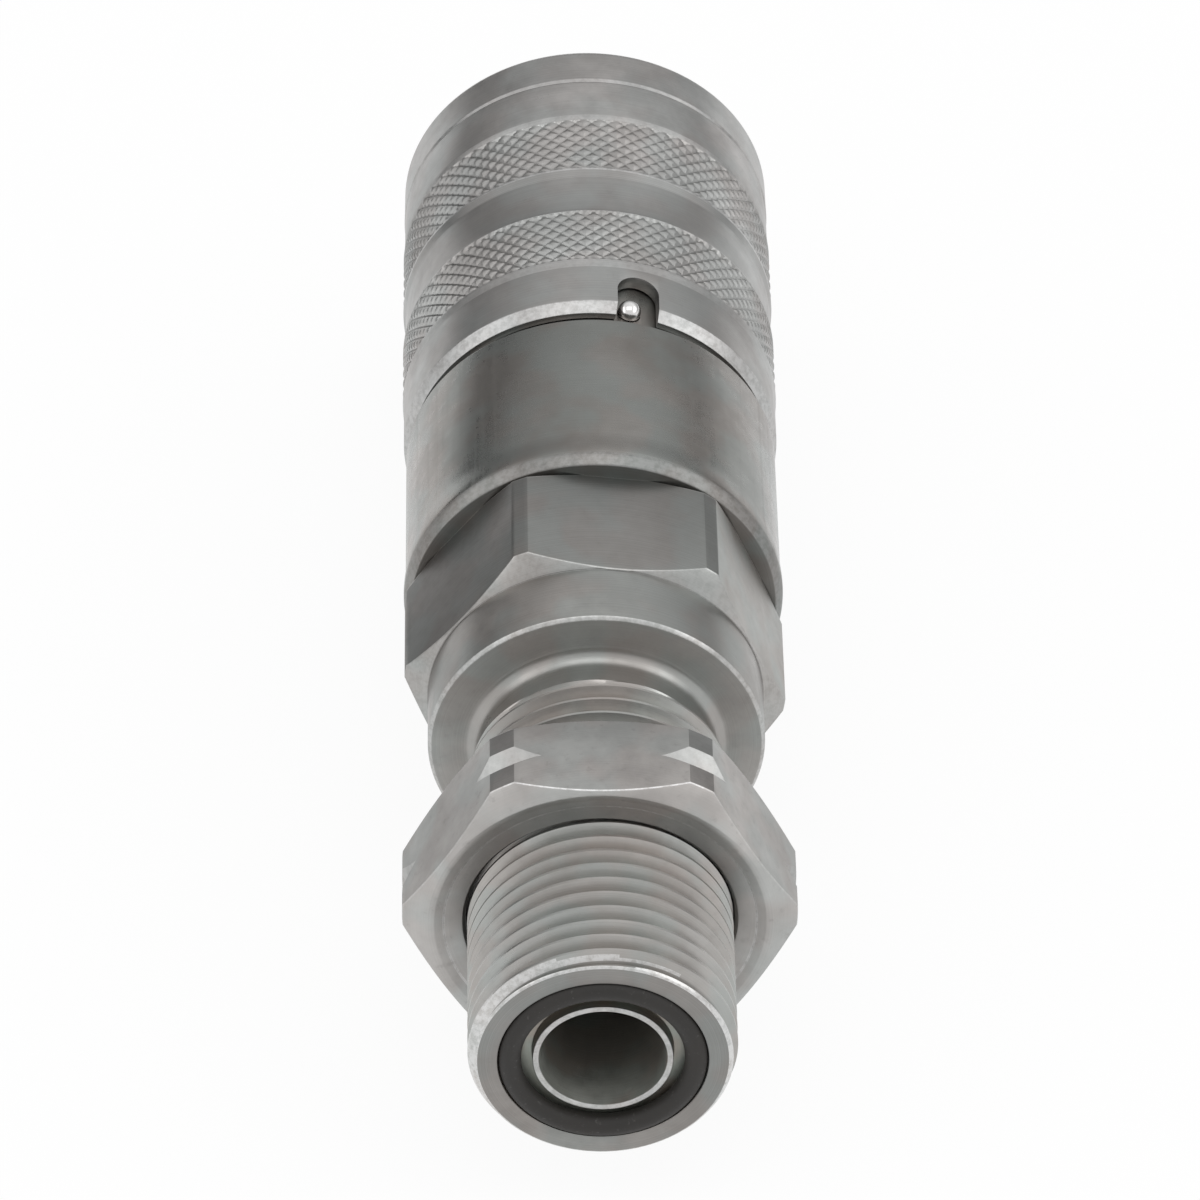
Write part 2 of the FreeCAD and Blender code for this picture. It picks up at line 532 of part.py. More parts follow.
# Seat washer and spring that drive the sleeve towards the mouth.
nodes.append(turned("sleeve_seat_washer", [
    ("washer_bore_rad", "washer_start"), ("washer_rad", "washer_start"),
    ("washer_rad", "washer_end"), ("washer_bore_rad", "washer_end"),
]))
nodes.append(coil(
    "sleeve_spring", "0.5*waist_rad + 0.5*sleeve_bore_rad", "sleeve_wire", "skirt_end",
    "washer_start", "sleeve_coils"))

# Ball retainer: thin tube under the balls, held by its rear flange.
nodes.append(turned("ball_retainer", [
    ("retainer_bore_rad", "retainer_rear"), ("flange_rad", "retainer_rear"),
    ("flange_rad", "flange_end"), ("retainer_rad", "flange_end"),
    ("retainer_rad", "retainer_front - retainer_bevel"),
    ("retainer_rad - retainer_bevel", "retainer_front"),
    ("retainer_bore_rad", "retainer_front"),
]))
nodes.append(coil(
    "retainer_spring", "0.5*valve_rad + 0.5*chamber_rad", "retainer_wire", "chamber_pos",
    "retainer_rear", "retainer_coils"))

# Valve sleeve: closes on the stem head at its front lip.
nodes.append(turned("valve_sleeve", [
    ("valve_bore_rad", "valve_rear"), ("valve_rad - valve_tail_bevel", "valve_rear"),
    ("valve_rad", "valve_rear + valve_tail_bevel_len"), ("valve_rad", "valve_front - edge_bevel"),
    ("valve_rad - edge_bevel", "valve_front"), ("valve_lip_rad", "valve_front"),
    ("valve_lip_rad", "valve_lip_pos"), ("valve_bore_rad", "valve_lip_pos - valve_lip_step"),
]))
nodes.append(coil(
    "valve_spring", "0.5*valve_rad + 0.5*valve_bore_rad", "valve_wire", "spider_end",
    "valve_rear", "valve_coils"))
nodes.append(ring(
    "valve_sleeve_oring", "0.5*valve_rad + 0.5*seal_groove_rad", "seal_fat",
    "seal_groove_pos + seal_fat + ring_play"))
nodes.append(turned("valve_backup_ring", [
    ("guide_rad", "backup_start"), ("seal_groove_rad - ring_play", "backup_start"),
    ("seal_groove_rad - ring_play", "seal_groove_end - ring_play"),
    ("guide_rad", "seal_groove_end - ring_play"),
]))

# Spider that carries the stem and lets the fluid pass.
spider_turned = turned("spider_turned", [
    ("tail_hole_rad", "spider_pos"), ("spider_rad", "spider_pos"),
    ("spider_rad", "spider_end"), ("tail_hole_rad", "spider_end"),
])
passages = []
for i in range(int(size("spider_hole_count"))):
    angle = 360.0 * i / size("spider_hole_count")
    base = spot(size("spider_hole_pitch_rad"), number("spider_pos - cutter_over"), angle)
    passages.append(rod(
        "passage_%d" % (i + 1), "spider_hole_rad", "spider_len + 2*cutter_over",
        FreeCAD.Placement(base, along_y())))
nodes.append(cut("stem_spider", spider_turned, passages))

# Stem with its flat head, the bonded seal round the head and the nut behind the spider.
nodes.append(turned("valve_stem", [
    ("0", "tail_pos"), ("tail_rad", "tail_pos"), ("tail_rad", "spider_end"),
    ("stem_rad", "spider_end"), ("stem_rad", "head_cone_pos"), ("head_rad", "head_pos"),
    ("head_rad", "head_groove_pos"), ("head_groove_rad", "head_groove_pos"),
    ("head_groove_rad", "head_groove_end"), ("head_rad", "head_groove_end"),
    ("head_rad", "valve_front - edge_bevel"), ("head_rad - edge_bevel", "valve_front"),
    ("0", "valve_front"),
]))
nodes.append(turned("stem_head_seal", [
    ("head_groove_rad + seal_play", "head_seal_start"),
    ("head_seal_rad - head_seal_crown", "head_seal_start"),
    ("head_seal_rad", "0.5*head_seal_start + 0.5*head_seal_end"),
    ("head_seal_rad - head_seal_crown", "head_seal_end"),
    ("head_groove_rad + seal_play", "head_seal_end"),
]))
stem_nut_turned = turned("stem_nut_turned", [
    ("tail_hole_rad", "nut_small_pos"), ("nut_small_face_rad", "nut_small_pos"),
    ("nut_small_rad", "nut_small_pos + nut_small_bevel_len"),
    ("nut_small_rad", "spider_pos - nut_small_bevel_len"),
    ("nut_small_face_rad", "spider_pos"), ("tail_hole_rad", "spider_pos"),
])
stem_nut_bar = hex_bar(
    "stem_nut_bar", "nut_small_flats", "nut_small_pos - cutter_over",
    "nut_small_len + 2*cutter_over", "0")
nodes.append(common("stem_nut", stem_nut_turned, stem_nut_bar))

doc.recompute()
for item in doc.Objects:
    if "Invalid" in item.State or "Error" in item.State:
        raise RuntimeError("%s failed: %s" % (item.Name, item.State))
for node in nodes:
    shape = node.Shape
    if shape.isNull() or not shape.isValid() or len(shape.Solids) != 1:
        raise RuntimeError("%s is not one valid solid" % node.Label)
for node in nodes:
    node.Shape.exportStep("parts/%s.step" % node.Label)
    print("%s %.3f mm3" % (node.Label, node.Shape.Volume))
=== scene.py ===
import math

import bmesh
import bpy
import numpy as np
from mathutils import Matrix, Vector


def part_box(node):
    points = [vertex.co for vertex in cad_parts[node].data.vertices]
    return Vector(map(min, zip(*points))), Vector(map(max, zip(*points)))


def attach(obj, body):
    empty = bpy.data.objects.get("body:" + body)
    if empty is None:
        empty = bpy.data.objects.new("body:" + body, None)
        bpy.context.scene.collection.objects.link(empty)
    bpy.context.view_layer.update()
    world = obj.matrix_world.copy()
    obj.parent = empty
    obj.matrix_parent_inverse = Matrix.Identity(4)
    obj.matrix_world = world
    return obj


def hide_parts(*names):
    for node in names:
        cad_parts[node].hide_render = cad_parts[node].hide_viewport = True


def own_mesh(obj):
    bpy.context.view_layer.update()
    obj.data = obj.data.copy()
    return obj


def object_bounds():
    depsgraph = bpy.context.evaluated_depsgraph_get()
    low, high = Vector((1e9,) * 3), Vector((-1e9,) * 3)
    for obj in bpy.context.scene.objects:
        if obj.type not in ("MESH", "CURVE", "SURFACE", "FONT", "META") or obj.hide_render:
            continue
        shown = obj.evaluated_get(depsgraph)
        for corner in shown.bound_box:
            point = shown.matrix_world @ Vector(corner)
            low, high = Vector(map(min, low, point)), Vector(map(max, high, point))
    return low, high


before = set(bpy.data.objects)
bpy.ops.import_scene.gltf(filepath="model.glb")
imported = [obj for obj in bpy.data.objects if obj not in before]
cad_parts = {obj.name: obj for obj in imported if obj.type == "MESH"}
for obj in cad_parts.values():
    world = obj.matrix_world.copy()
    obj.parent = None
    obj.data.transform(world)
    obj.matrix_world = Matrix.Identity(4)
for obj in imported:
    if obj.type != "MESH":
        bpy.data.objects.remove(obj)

cad_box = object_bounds()

# Sizes and places are in mm, and MM turns them into metres. The flow axis is Y, from the thread's end
# towards the mouth. Angles go round it from +Z towards +X.
MM = 0.001
TURN = 2 * math.pi
scene = bpy.context.scene


# ---------------------------------------------------------------- places
def place(node):
    """First position, last position and radius of a node that is centred on the flow axis, in mm."""
    lo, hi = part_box(node)
    return lo.y / MM, hi.y / MM, max(hi.x, -lo.x, hi.z, -lo.z) / MM


END = place("orfs_adapter")[0]
SLEEVE_START, SLEEVE_END, GRIP = place("locking_sleeve")
JOINT, MOUTH, _ = place("socket_body")


# ---------------------------------------------------------------- mesh tools
def link(mesh, name, sharp):
    """Makes a smooth-shaded object of a mesh, with its edges sharp above an angle in degrees."""
    mesh.validate()
    mesh.polygons.foreach_set("use_smooth", [True] * len(mesh.polygons))
    mesh.set_sharp_from_angle(angle=math.radians(sharp))
    made = bpy.data.objects.new(name, mesh)
    scene.collection.objects.link(made)
    return made


def raw_mesh(name, grid, faces):
    """A mesh from an array of points in mm."""
    mesh = bpy.data.meshes.new(name)
    mesh.from_pydata((grid.reshape(-1, 3) * MM).tolist(), [], faces)
    return mesh


def quads_round(index):
    """Quads between the rows of a grid of point numbers, where each row is a closed loop."""
    a, b = index[:-1], index[1:]
    return np.stack([a, np.roll(a, -1, 1), np.roll(b, -1, 1), b], -1).reshape(-1, 4).tolist()


def ring_of(count, extra=()):
    """Angles round the axis, evenly spaced, with the extra ones put in."""
    step = TURN / count
    extra = [a % TURN for a in extra]
    angles = {
        round(step * i, 7) for i in range(count)
        if all(abs((step * i - a + math.pi) % TURN - math.pi) > 0.55 * step for a in extra)
    }
    return np.array(sorted(angles | {round(a, 7) for a in extra}))


def skin(name, rows, angles, closed=True, sharp=24.0):
    """A surface through rows of (radius, position), each a number or one number per angle."""
    size = len(angles)
    grid = np.zeros((len(rows), size, 3))
    for i, (radius, along) in enumerate(rows):
        grid[i, :, 0] = radius * np.sin(angles)
        grid[i, :, 1] = along
        grid[i, :, 2] = radius * np.cos(angles)
    index = np.arange(len(rows) * size).reshape(len(rows), size)
    if closed:
        index = np.vstack([index, index[:1]])
    return link(raw_mesh(name, grid, quads_round(index)), name, sharp)


def soften(points, closed=True, steps=3):
    """Rounds the corners of an outline.

    A point is (radius, position), and a third number is the size of its round.
    """
    full = [(p[0], p[1], p[2] if len(p) > 2 else 0.0) for p in points]
    made = []
    count = len(full)
    for i, (r, y, size) in enumerate(full):
        ends = not closed and i in (0, count - 1)
        if size <= 0 or ends:
            made.append((r, y))
            continue
        here = np.array((r, y))
        before = np.array(full[i - 1][:2]) - here
        after = np.array(full[(i + 1) % count][:2]) - here
        p = here + before / np.linalg.norm(before) * min(size, 0.45 * np.linalg.norm(before))
        q = here + after / np.linalg.norm(after) * min(size, 0.45 * np.linalg.norm(after))
        for k in range(steps + 1):
            t = k / steps
            made.append(tuple((1 - t) ** 2 * p + 2 * t * (1 - t) * here + t * t * q))
    return made


def lathe(name, outline):
    """A turned piece from its closed outline."""
    return skin(name, soften(outline), ring_of(192))


def hex_radius(angles, flats, corner, turn):
    """Radius of a hexagon with truncated corners at each angle."""
    local = (angles - math.radians(turn) + TURN / 12) % (TURN / 6) - TURN / 12
    return np.minimum(flats / 2 / np.cos(local), corner)


def hex_angles(flats, corner, turn):
    """Angles at which the flats meet the truncated corners."""
    half = math.acos(flats / 2 / corner)
    return [math.radians(turn) + TURN * k / 6 + s * half for k in range(6) for s in (-1, 1)]


def carve(piece, cutters, sharp=24.0):
    """Cuts the cutters out of a piece and removes them."""
    for cutter in cutters:
        step = piece.modifiers.new("cut", "BOOLEAN")
        step.operation = "DIFFERENCE"
        step.solver = "EXACT"
        step.object = cutter
    bpy.context.view_layer.update()
    graph = bpy.context.evaluated_depsgraph_get()
    mesh = bpy.data.meshes.new_from_object(piece.evaluated_get(graph))
    name = piece.name
    for old in [piece] + list(cutters):
        bpy.data.objects.remove(old)
    return link(mesh, name, sharp)


def weld(name, parts, sharp):
    """Joins open skins whose rims meet into one surface."""
    bm = bmesh.new()
    for part in parts:
        bm.from_mesh(part.data)
        bpy.data.objects.remove(part)
    bmesh.ops.remove_doubles(bm, verts=bm.verts, dist=2e-7)
    mesh = bpy.data.meshes.new(name)
    bm.to_mesh(mesh)
    bm.free()
    return link(mesh, name, sharp)


def paint(piece, rule):
    """Gives each face its tone, edge value and mattness. The tone is painted light and shade, and the edge
    value is edge wear with painted highlights.

    The rule gets each face's radius and position in mm, its angle, and the outward and lengthwise
    parts of its normal.
    """
    mesh = piece.data
    count = len(mesh.polygons)
    centre, normal = np.zeros(count * 3), np.zeros(count * 3)
    mesh.polygons.foreach_get("center", centre)
    mesh.polygons.foreach_get("normal", normal)
    x, y, z = centre.reshape(-1, 3).T / MM
    nx, ny, nz = normal.reshape(-1, 3).T
    radius = np.hypot(x, z)
    out = (nx * x + nz * z) / np.maximum(radius, 1e-6)
    layers = {key: np.zeros(count) for key in ("tone", "edge", "matt")}
    rule(layers, radius, y, np.arctan2(x, z), out, ny)
    for key, values in layers.items():
        layer = mesh.attributes.new(key, "FLOAT", "FACE")
        layer.data.foreach_set("value", values)


STRIP_MATT = 0.16
FLAT_MATT = 0.08


def hex_paint(layers, where, angle, flats, corner, turn, flat_shading, strip_shading):
    """Puts painted light and shade on the flats of a hexagon, counted from the top one towards +X, and on the
    strips at its corners.
    """
    local = (angle - math.radians(turn) + TURN / 12) % (TURN / 6) - TURN / 12
    number = np.round((angle - math.radians(turn)) / (TURN / 6)).astype(int) % 6
    on_strip = np.abs(local) > math.acos(flats / 2 / corner)
    # Painted light and shade, one value per flat and one for the corner strips.
    layers["tone"][where] = np.where(on_strip, strip_shading, np.array(flat_shading)[number])[where]
    layers["matt"][where] = np.where(on_strip, STRIP_MATT, FLAT_MATT)[where]


def prism(name, sides, low, high, matrix):
    """A closed prism in mm over a polygon of (across, along), from low to high, placed by a matrix."""
    count = len(sides)
    points = [Vector((a, b, low)) for a, b in sides] + [Vector((a, b, high)) for a, b in sides]
    faces = [list(range(count))[::-1], [count + i for i in range(count)]]
    for i in range(count):
        j = (i + 1) % count
        faces.append([i, j, count + j, count + i])
    mesh = bpy.data.meshes.new(name)
    mesh.from_pydata([list((matrix @ p) * MM) for p in points], [], faces)
    return link(mesh, name, 30.0)


def round_sides(radius, count=32, centre=(0.0, 0.0)):
    """The corners of a many-sided polygon that stands for a circle."""
    sides = []
    for i in range(count):
        swing = TURN * i / count
        sides.append((centre[0] + radius * math.cos(swing), centre[1] + radius * math.sin(swing)))
    return sides


def outward(angle):
    """Turns +Z to point outwards at an angle from +Z towards +X."""
    return Matrix.Rotation(angle, 4, "Y")


def tube(name, path, wire, sides=16):
    """A round wire of radius wire along a path of points in mm, with flat ends."""
    path = np.array(path)
    run = np.gradient(path, axis=0)
    run /= np.linalg.norm(run, axis=1)[:, None]
    out = path * np.array((1, 0, 1))
    out -= (out * run).sum(1)[:, None] * run
    out /= np.linalg.norm(out, axis=1)[:, None]
    side = np.cross(run, out)
    turn = np.arange(sides) * TURN / sides
    grid = (
        path[:, None]
        + wire * np.cos(turn)[None, :, None] * out[:, None]
        + wire * np.sin(turn)[None, :, None] * side[:, None]
    )
    index = np.arange(len(path) * sides).reshape(-1, sides)
    faces = quads_round(index) + [index[0][::-1].tolist(), index[-1].tolist()]
    return link(raw_mesh(name, grid, faces), name, 60.0)


# ---------------------------------------------------------------- materials
def wire_up(tree, kind, settings=None, **inputs):
    """A new node. An input is named by its socket, or by i and its number, and is a value or a socket."""
    node = tree.nodes.new(kind)
    for key, value in (settings or {}).items():
        setattr(node, key, value)
    for key, value in inputs.items():
        by_number = key[0] == "i" and key[1:].isdigit()
        socket = node.inputs[int(key[1:]) if by_number else key]
        if isinstance(value, bpy.types.NodeSocket):
            tree.links.new(value, socket)
        else:
            socket.default_value = value
    return node


def math_node(tree, operation, a, b=0.0, clamp=False):
    """One step of arithmetic."""
    settings = {"operation": operation, "use_clamp": clamp}
    return wire_up(tree, "ShaderNodeMath", settings, i0=a, i1=b).outputs[0]


def times(tree, a, b):
    """a times b."""
    return math_node(tree, "MULTIPLY", a, b)


def plus(tree, a, b):
    """a plus b."""
    return math_node(tree, "ADD", a, b)


def blend_colour(tree, factor, a, b):
    """Colour a where the factor is 0, b where it is 1."""
    return wire_up(tree, "ShaderNodeMix", {"data_type": "RGBA"}, i0=factor, i6=a, i7=b).outputs[2]


def spread(tree, value, low, high, to_low=0.0, to_high=1.0):
    """Stretches low to high onto to_low to to_high, and holds it there outside."""
    node = wire_up(tree, "ShaderNodeMapRange", None, i0=value, i1=low, i2=high, i3=to_low, i4=to_high)
    return node.outputs[0]


def noise(tree, vector, scale, detail=3.0, rough=0.55):
    """Soft noise in space, at a scale in cells per metre."""
    node = wire_up(
        tree, "ShaderNodeTexNoise", None, Vector=vector, Scale=scale, Detail=detail, Roughness=rough
    )
    return node.outputs[0]


def line_noise(tree, along, scale, detail, rough):
    """Noise along one line, which gives the marks of turning."""
    settings = {"noise_dimensions": "1D"}
    node = wire_up(
        tree, "ShaderNodeTexNoise", settings, W=along, Scale=scale, Detail=detail, Roughness=rough
    )
    return node.outputs[0]


# Turning lines in cycles per metre, and how dark a stain is beside clean steel.
LINE_SCALE = 9000.0
STAIN_DARK = 0.72


def steel(name, base, rough, warm, lines, grain, stain, streak=0.0):
    """Satin plated steel.

    It has turning lines round the axis, fine grain, soft stains, scuffs, a faint shift of hue, and
    streaks where asked. The faces' tone values add painted light and shade, their edge values lighten edges
    with wear and painted highlights, and their matt values make it duller.
    """
    made = bpy.data.materials.new(name)
    made.use_nodes = True
    tree = made.node_tree
    tree.nodes.clear()
    shader = tree.nodes.new("ShaderNodeBsdfPrincipled")
    shader.inputs["Metallic"].default_value = 1.0
    output = tree.nodes.new("ShaderNodeOutputMaterial")
    tree.links.new(shader.outputs[0], output.inputs[0])
    where = tree.nodes.new("ShaderNodeTexCoord").outputs["Object"]
    parts = wire_up(tree, "ShaderNodeSeparateXYZ", None, Vector=where)
    x, y, z = parts.outputs[0], parts.outputs[1], parts.outputs[2]
    radius = math_node(tree, "SQRT", plus(tree, times(tree, x, x), times(tree, z, z)))
    wobble = noise(tree, where, 90.0, 1.0)
    across = plus(tree, plus(tree, y, radius), times(tree, wobble, 0.00012))
    turned = line_noise(tree, across, LINE_SCALE, 4.0, 0.7)
    coarse = line_noise(tree, across, LINE_SCALE / 9, 2.0, 0.5)
    fine = noise(tree, where, 5200.0, 2.0)
    mottle = noise(tree, where, 1100.0, 4.0, 0.65)
    cloud = noise(tree, where, 130.0, 4.0, 0.6)
    patch = noise(tree, where, 48.0, 3.0, 0.5)
    painted = {}
    for key in ("tone", "edge", "matt"):
        settings = {"attribute_name": key, "attribute_type": "GEOMETRY"}
        painted[key] = wire_up(tree, "ShaderNodeAttribute", settings).outputs["Fac"]
    # Edge values lighten edges, partly as wear and partly as painted highlights, broken up by noise.
    ragged = spread(tree, noise(tree, where, 1900.0, 3.0, 0.7), 0.36, 0.58, 0.25, 1.0)
    wear_and_highlight = times(tree, painted["edge"], ragged)
    pale = [base * (1 + 0.8 * warm), base * (1 + 0.1 * warm), base * (1 - warm), 1.0]
    stained = base * STAIN_DARK
    deep = [stained * (1 + 1.6 * warm), stained, stained * (1 - 1.6 * warm), 1.0]
    tone = spread(tree, cloud, 0.35, 0.65)
    tone = math_node(tree, "MULTIPLY", tone, stain * 2.0, True)
    colour = blend_colour(tree, tone, pale, deep)
    tint = spread(tree, patch, 0.42, 0.62)
    warmer = [base * (1 + 2.4 * warm), base * 0.985, base * (1 - 2.2 * warm), 1.0]
    colour = blend_colour(tree, times(tree, tint, 0.4), colour, warmer)
    rainbow = spread(tree, noise(tree, where, 210.0, 2.0, 0.4), 0.44, 0.58)
    cooler = [base * (1 - 2.0 * warm), base * (1 + 0.8 * warm), base * (1 + 0.2 * warm), 1.0]
    colour = blend_colour(tree, times(tree, rainbow, 0.45), colour, cooler)
    speck = spread(tree, mottle, 0.60, 0.72)
    darkest = [c * 0.8 for c in deep[:3]] + [1.0]
    colour = blend_colour(tree, times(tree, speck, 0.7 * grain), colour, darkest)
    shade = spread(tree, turned, 0.3, 0.7, 1.0 - 0.35 * lines, 1.0 + 0.25 * lines)
    # Painted light and shade from each face's tone value.
    shade = plus(tree, shade, painted["tone"])
    smear = spread(tree, noise(tree, where, 330.0, 4.0, 0.6), 0.40, 0.66)
    scuff = times(tree, smear, spread(tree, patch, 0.45, 0.6))
    shade = plus(tree, shade, times(tree, scuff, 0.5 * stain))
    node = wire_up(tree, "ShaderNodeVectorMath", {"operation": "SCALE"}, i0=colour)
    tree.links.new(shade, node.inputs["Scale"])
    colour = node.outputs[0]
    # The colour that edges take: wear and painted highlight.
    wear_and_highlight_colour = [min(0.95, base * 2.3)] * 3 + [1.0]
    colour = blend_colour(tree, wear_and_highlight, colour, wear_and_highlight_colour)
    tree.links.new(colour, shader.inputs["Base Color"])
    gloss = spread(tree, cloud, 0.3, 0.7, rough - 0.05, rough + 0.07)
    gloss = plus(tree, gloss, spread(tree, mottle, 0.3, 0.7, -0.03, 0.05))
    gloss = plus(tree, gloss, painted["matt"])
    height = times(tree, turned, lines)
    height = plus(tree, height, times(tree, coarse, lines * 1.2))
    height = plus(tree, height, times(tree, fine, grain * 0.5))
    height = plus(tree, height, times(tree, mottle, grain))
    if streak:
        stretch = (1500.0, 30.0, 1500.0)
        long_way = wire_up(tree, "ShaderNodeMapping", None, Vector=where, Scale=stretch).outputs[0]
        scratch = noise(tree, long_way, 1.0, 3.0, 0.6)
        thin = spread(tree, scratch, 0.50, 0.80)
        gloss = plus(tree, gloss, times(tree, thin, streak))
    tree.links.new(gloss, shader.inputs["Roughness"])
    bump = wire_up(tree, "ShaderNodeBump", None, Height=height, Strength=0.55, Distance=0.00002)
    tree.links.new(bump.outputs[0], shader.inputs["Normal"])
    return made


def rubber(name, tone):
    """Black rubber with a cloudy bloom and specks of dust."""
    made = bpy.data.materials.new(name)
    made.use_nodes = True
    tree = made.node_tree
    shader = tree.nodes["Principled BSDF"]
    where = tree.nodes.new("ShaderNodeTexCoord").outputs["Object"]
    dust = noise(tree, where, 2600.0, 4.0, 0.6)
    cloud = noise(tree, where, 210.0, 3.0)
    clean = [tone * 1.15, tone, tone * 0.85, 1.0]
    bloom = [tone * 2.1, tone * 1.85, tone * 1.6, 1.0]
    grey = [0.16, 0.155, 0.15, 1.0]
    colour = blend_colour(tree, spread(tree, cloud, 0.35, 0.7), clean, bloom)
    specks = times(tree, spread(tree, dust, 0.62, 0.75), 0.35)
    colour = blend_colour(tree, specks, colour, grey)
    tree.links.new(colour, shader.inputs["Base Color"])
    tree.links.new(spread(tree, cloud, 0.3, 0.7, 0.52, 0.68), shader.inputs["Roughness"])
    bump = wire_up(tree, "ShaderNodeBump", None, Height=dust, Strength=0.35, Distance=0.00003)
    tree.links.new(bump.outputs[0], shader.inputs["Normal"])
    return made


def plastic(name, colour_a, colour_b):
    """A plain plastic with a soft cloud between two colours."""
    made = bpy.data.materials.new(name)
    made.use_nodes = True
    tree = made.node_tree
    shader = tree.nodes["Principled BSDF"]
    where = tree.nodes.new("ShaderNodeTexCoord").outputs["Object"]
    cloud = noise(tree, where, 600.0, 3.0)
    colour = blend_colour(tree, spread(tree, cloud, 0.3, 0.7), colour_a, colour_b)
    tree.links.new(colour, shader.inputs["Base Color"])
    tree.links.new(spread(tree, cloud, 0.3, 0.7, 0.38, 0.5), shader.inputs["Roughness"])
    return made


adapter_steel = steel("adapter_satin", 0.36, 0.33, 0.035, lines=0.22, grain=0.16, stain=0.28)
bore_steel = steel("bore_drawn", 0.52, 0.50, 0.06, lines=0.3, grain=0.3, stain=0.3)
# The groove's steel is lighter and browner than the adapter's: painted light against the groove's shade.
groove_lightened_steel = steel("groove_lightened", 0.42, 0.50, 0.09, lines=0.2, grain=0.3, stain=0.4)
nut_steel = steel("nut_satin", 0.36, 0.38, 0.025, lines=0.12, grain=0.45, stain=0.35)
body_steel = steel("body_satin", 0.28, 0.25, 0.045, lines=0.20, grain=0.03, stain=0.40, streak=0.10)
sleeve_steel = steel("sleeve_satin", 0.385, 0.33, 0.02, lines=0.35, grain=0.22, stain=0.40)
inner_steel = steel("inner_turned", 0.55, 0.28, 0.02, lines=0.4, grain=0.1, stain=0.15)
spring_steel = steel("spring_drawn", 0.42, 0.30, 0.02, lines=0.1, grain=0.15, stain=0.3, streak=0.1)
ball_steel = steel("ball_polished", 0.75, 0.12, 0.01, lines=0.0, grain=0.05, stain=0.1)
seal_rubber = rubber("seal_rubber", 0.010)
backup_plastic = plastic("backup_ptfe", [0.84, 0.83, 0.79, 1.0], [0.78, 0.77, 0.73, 1.0])


def fit(piece, body, material, slot, *nodes):
    """Gives a piece its body, its finish and the CAD nodes that it stands for."""
    piece.data.materials.clear()
    piece.data.materials.append(material)
    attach(piece, body)
    if nodes:
        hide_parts(*nodes)
    return piece


# ---------------------------------------------------------------- camera
def set_camera():
    """The camera that was fitted to the photograph: direction, place, roll, focal length and shift."""
    data = bpy.data.cameras.new("camera")
    data.lens = 244.09
    data.sensor_width = 36.0
    data.shift_y = 2.7 / 1200
    data.clip_start = 0.01
    data.clip_end = 50.0
    camera = bpy.data.objects.new("camera", data)
    scene.collection.objects.link(camera)
    forward = Vector((0.000797, 0.759191, -0.650868)).normalized()
    right = forward.cross(Vector((0, 0, 1))).normalized()
    up = right.cross(forward)
    roll = math.radians(-1.163)
    side = math.cos(roll) * right + math.sin(roll) * up
    top = -math.sin(roll) * right + math.cos(roll) * up
    camera.matrix_world = Matrix((
        (side.x, top.x, -forward.x, 0.0),
        (side.y, top.y, -forward.y, -0.44526),
        (side.z, top.z, -forward.z, 0.42747),
        (0.0, 0.0, 0.0, 1.0),
    ))
    scene.camera = camera


set_camera()


# ---------------------------------------------------------------- adapter
BORE = 4.87
LIP = 5.36
LIP_DROP = 0.25
GROOVE = 8.0
GROOVE_DEEP = 1.35
NECK = 9.3
FILLET = 1.2
COLLAR = 13.35
PILOT = 11.8
PILOT_LONG = 11.0
POCKET = 8.6
SPIDER_SEAT = 7.6
BORE_SPLIT = END + 20.0
SHOULDER = END + 36.0
HEX_START = END + 41.8
HEX_STOP = END + 53.0

# Across flats, turn in degrees, radius of the truncated corners, and the painted light and shade of the flats
# and corners.
HEX_FLATS = 27.0
HEX_TURN = 8.3
HEX_CORNER = 15.25
HEX_FLAT_SHADING = (-0.30, 0.10, -0.26, -0.30, -0.26, -0.52)
HEX_STRIP_SHADING = -0.44
NUT_FLATS = 27.5
NUT_TURN = 1.6
NUT_CORNER = 15.3
NUT_FLAT_SHADING = (-0.04, 0.10, -0.10, -0.08, -0.10, 0.0)
NUT_STRIP_SHADING = -0.40

# The 13/16-16 thread. CREST and ROOT are the widths of its flats, and FLANK is the run of a flank.
PITCH = 1.5875
DEPTH = 0.93
FLANK = DEPTH * math.tan(math.radians(30))
CREST = 0.14 * PITCH
ROOT = PITCH - 2 * FLANK - CREST
MAJOR = 10.28
THREAD_FIRST = END + 1.52
THREAD_LOW = END + 0.30
THREAD_HIGH = END + 33.1
BEVEL_RADIUS = 9.63
BEVEL_LONG = 1.1
RUN_OUT_END = 33.0
RUN_OUT_LONG = 0.9
NECK_START = 32.3
NECK_SLOPE = 0.8


def thread_radius(along, angles):
    """Radius of the right-hand thread, with its bevelled start, run-out and neck."""
    s = (along - THREAD_FIRST - PITCH * angles / TURN) % PITCH
    down = np.clip(s / FLANK, 0, 1)
    up = np.clip((s - FLANK - ROOT) / FLANK, 0, 1)
    form = np.where(s < FLANK + ROOT, down, 1 - up)
    y = along - END
    fade = np.clip((RUN_OUT_END - y) / RUN_OUT_LONG, 0, 1)
    bevel = np.minimum(BEVEL_RADIUS + (MAJOR - BEVEL_RADIUS) * y / BEVEL_LONG, MAJOR)
    neck = MAJOR - (MAJOR - NECK) * np.clip((y - NECK_START) / NECK_SLOPE, 0, 1)
    return np.minimum(np.minimum(MAJOR - DEPTH * form * fade, bevel), neck)


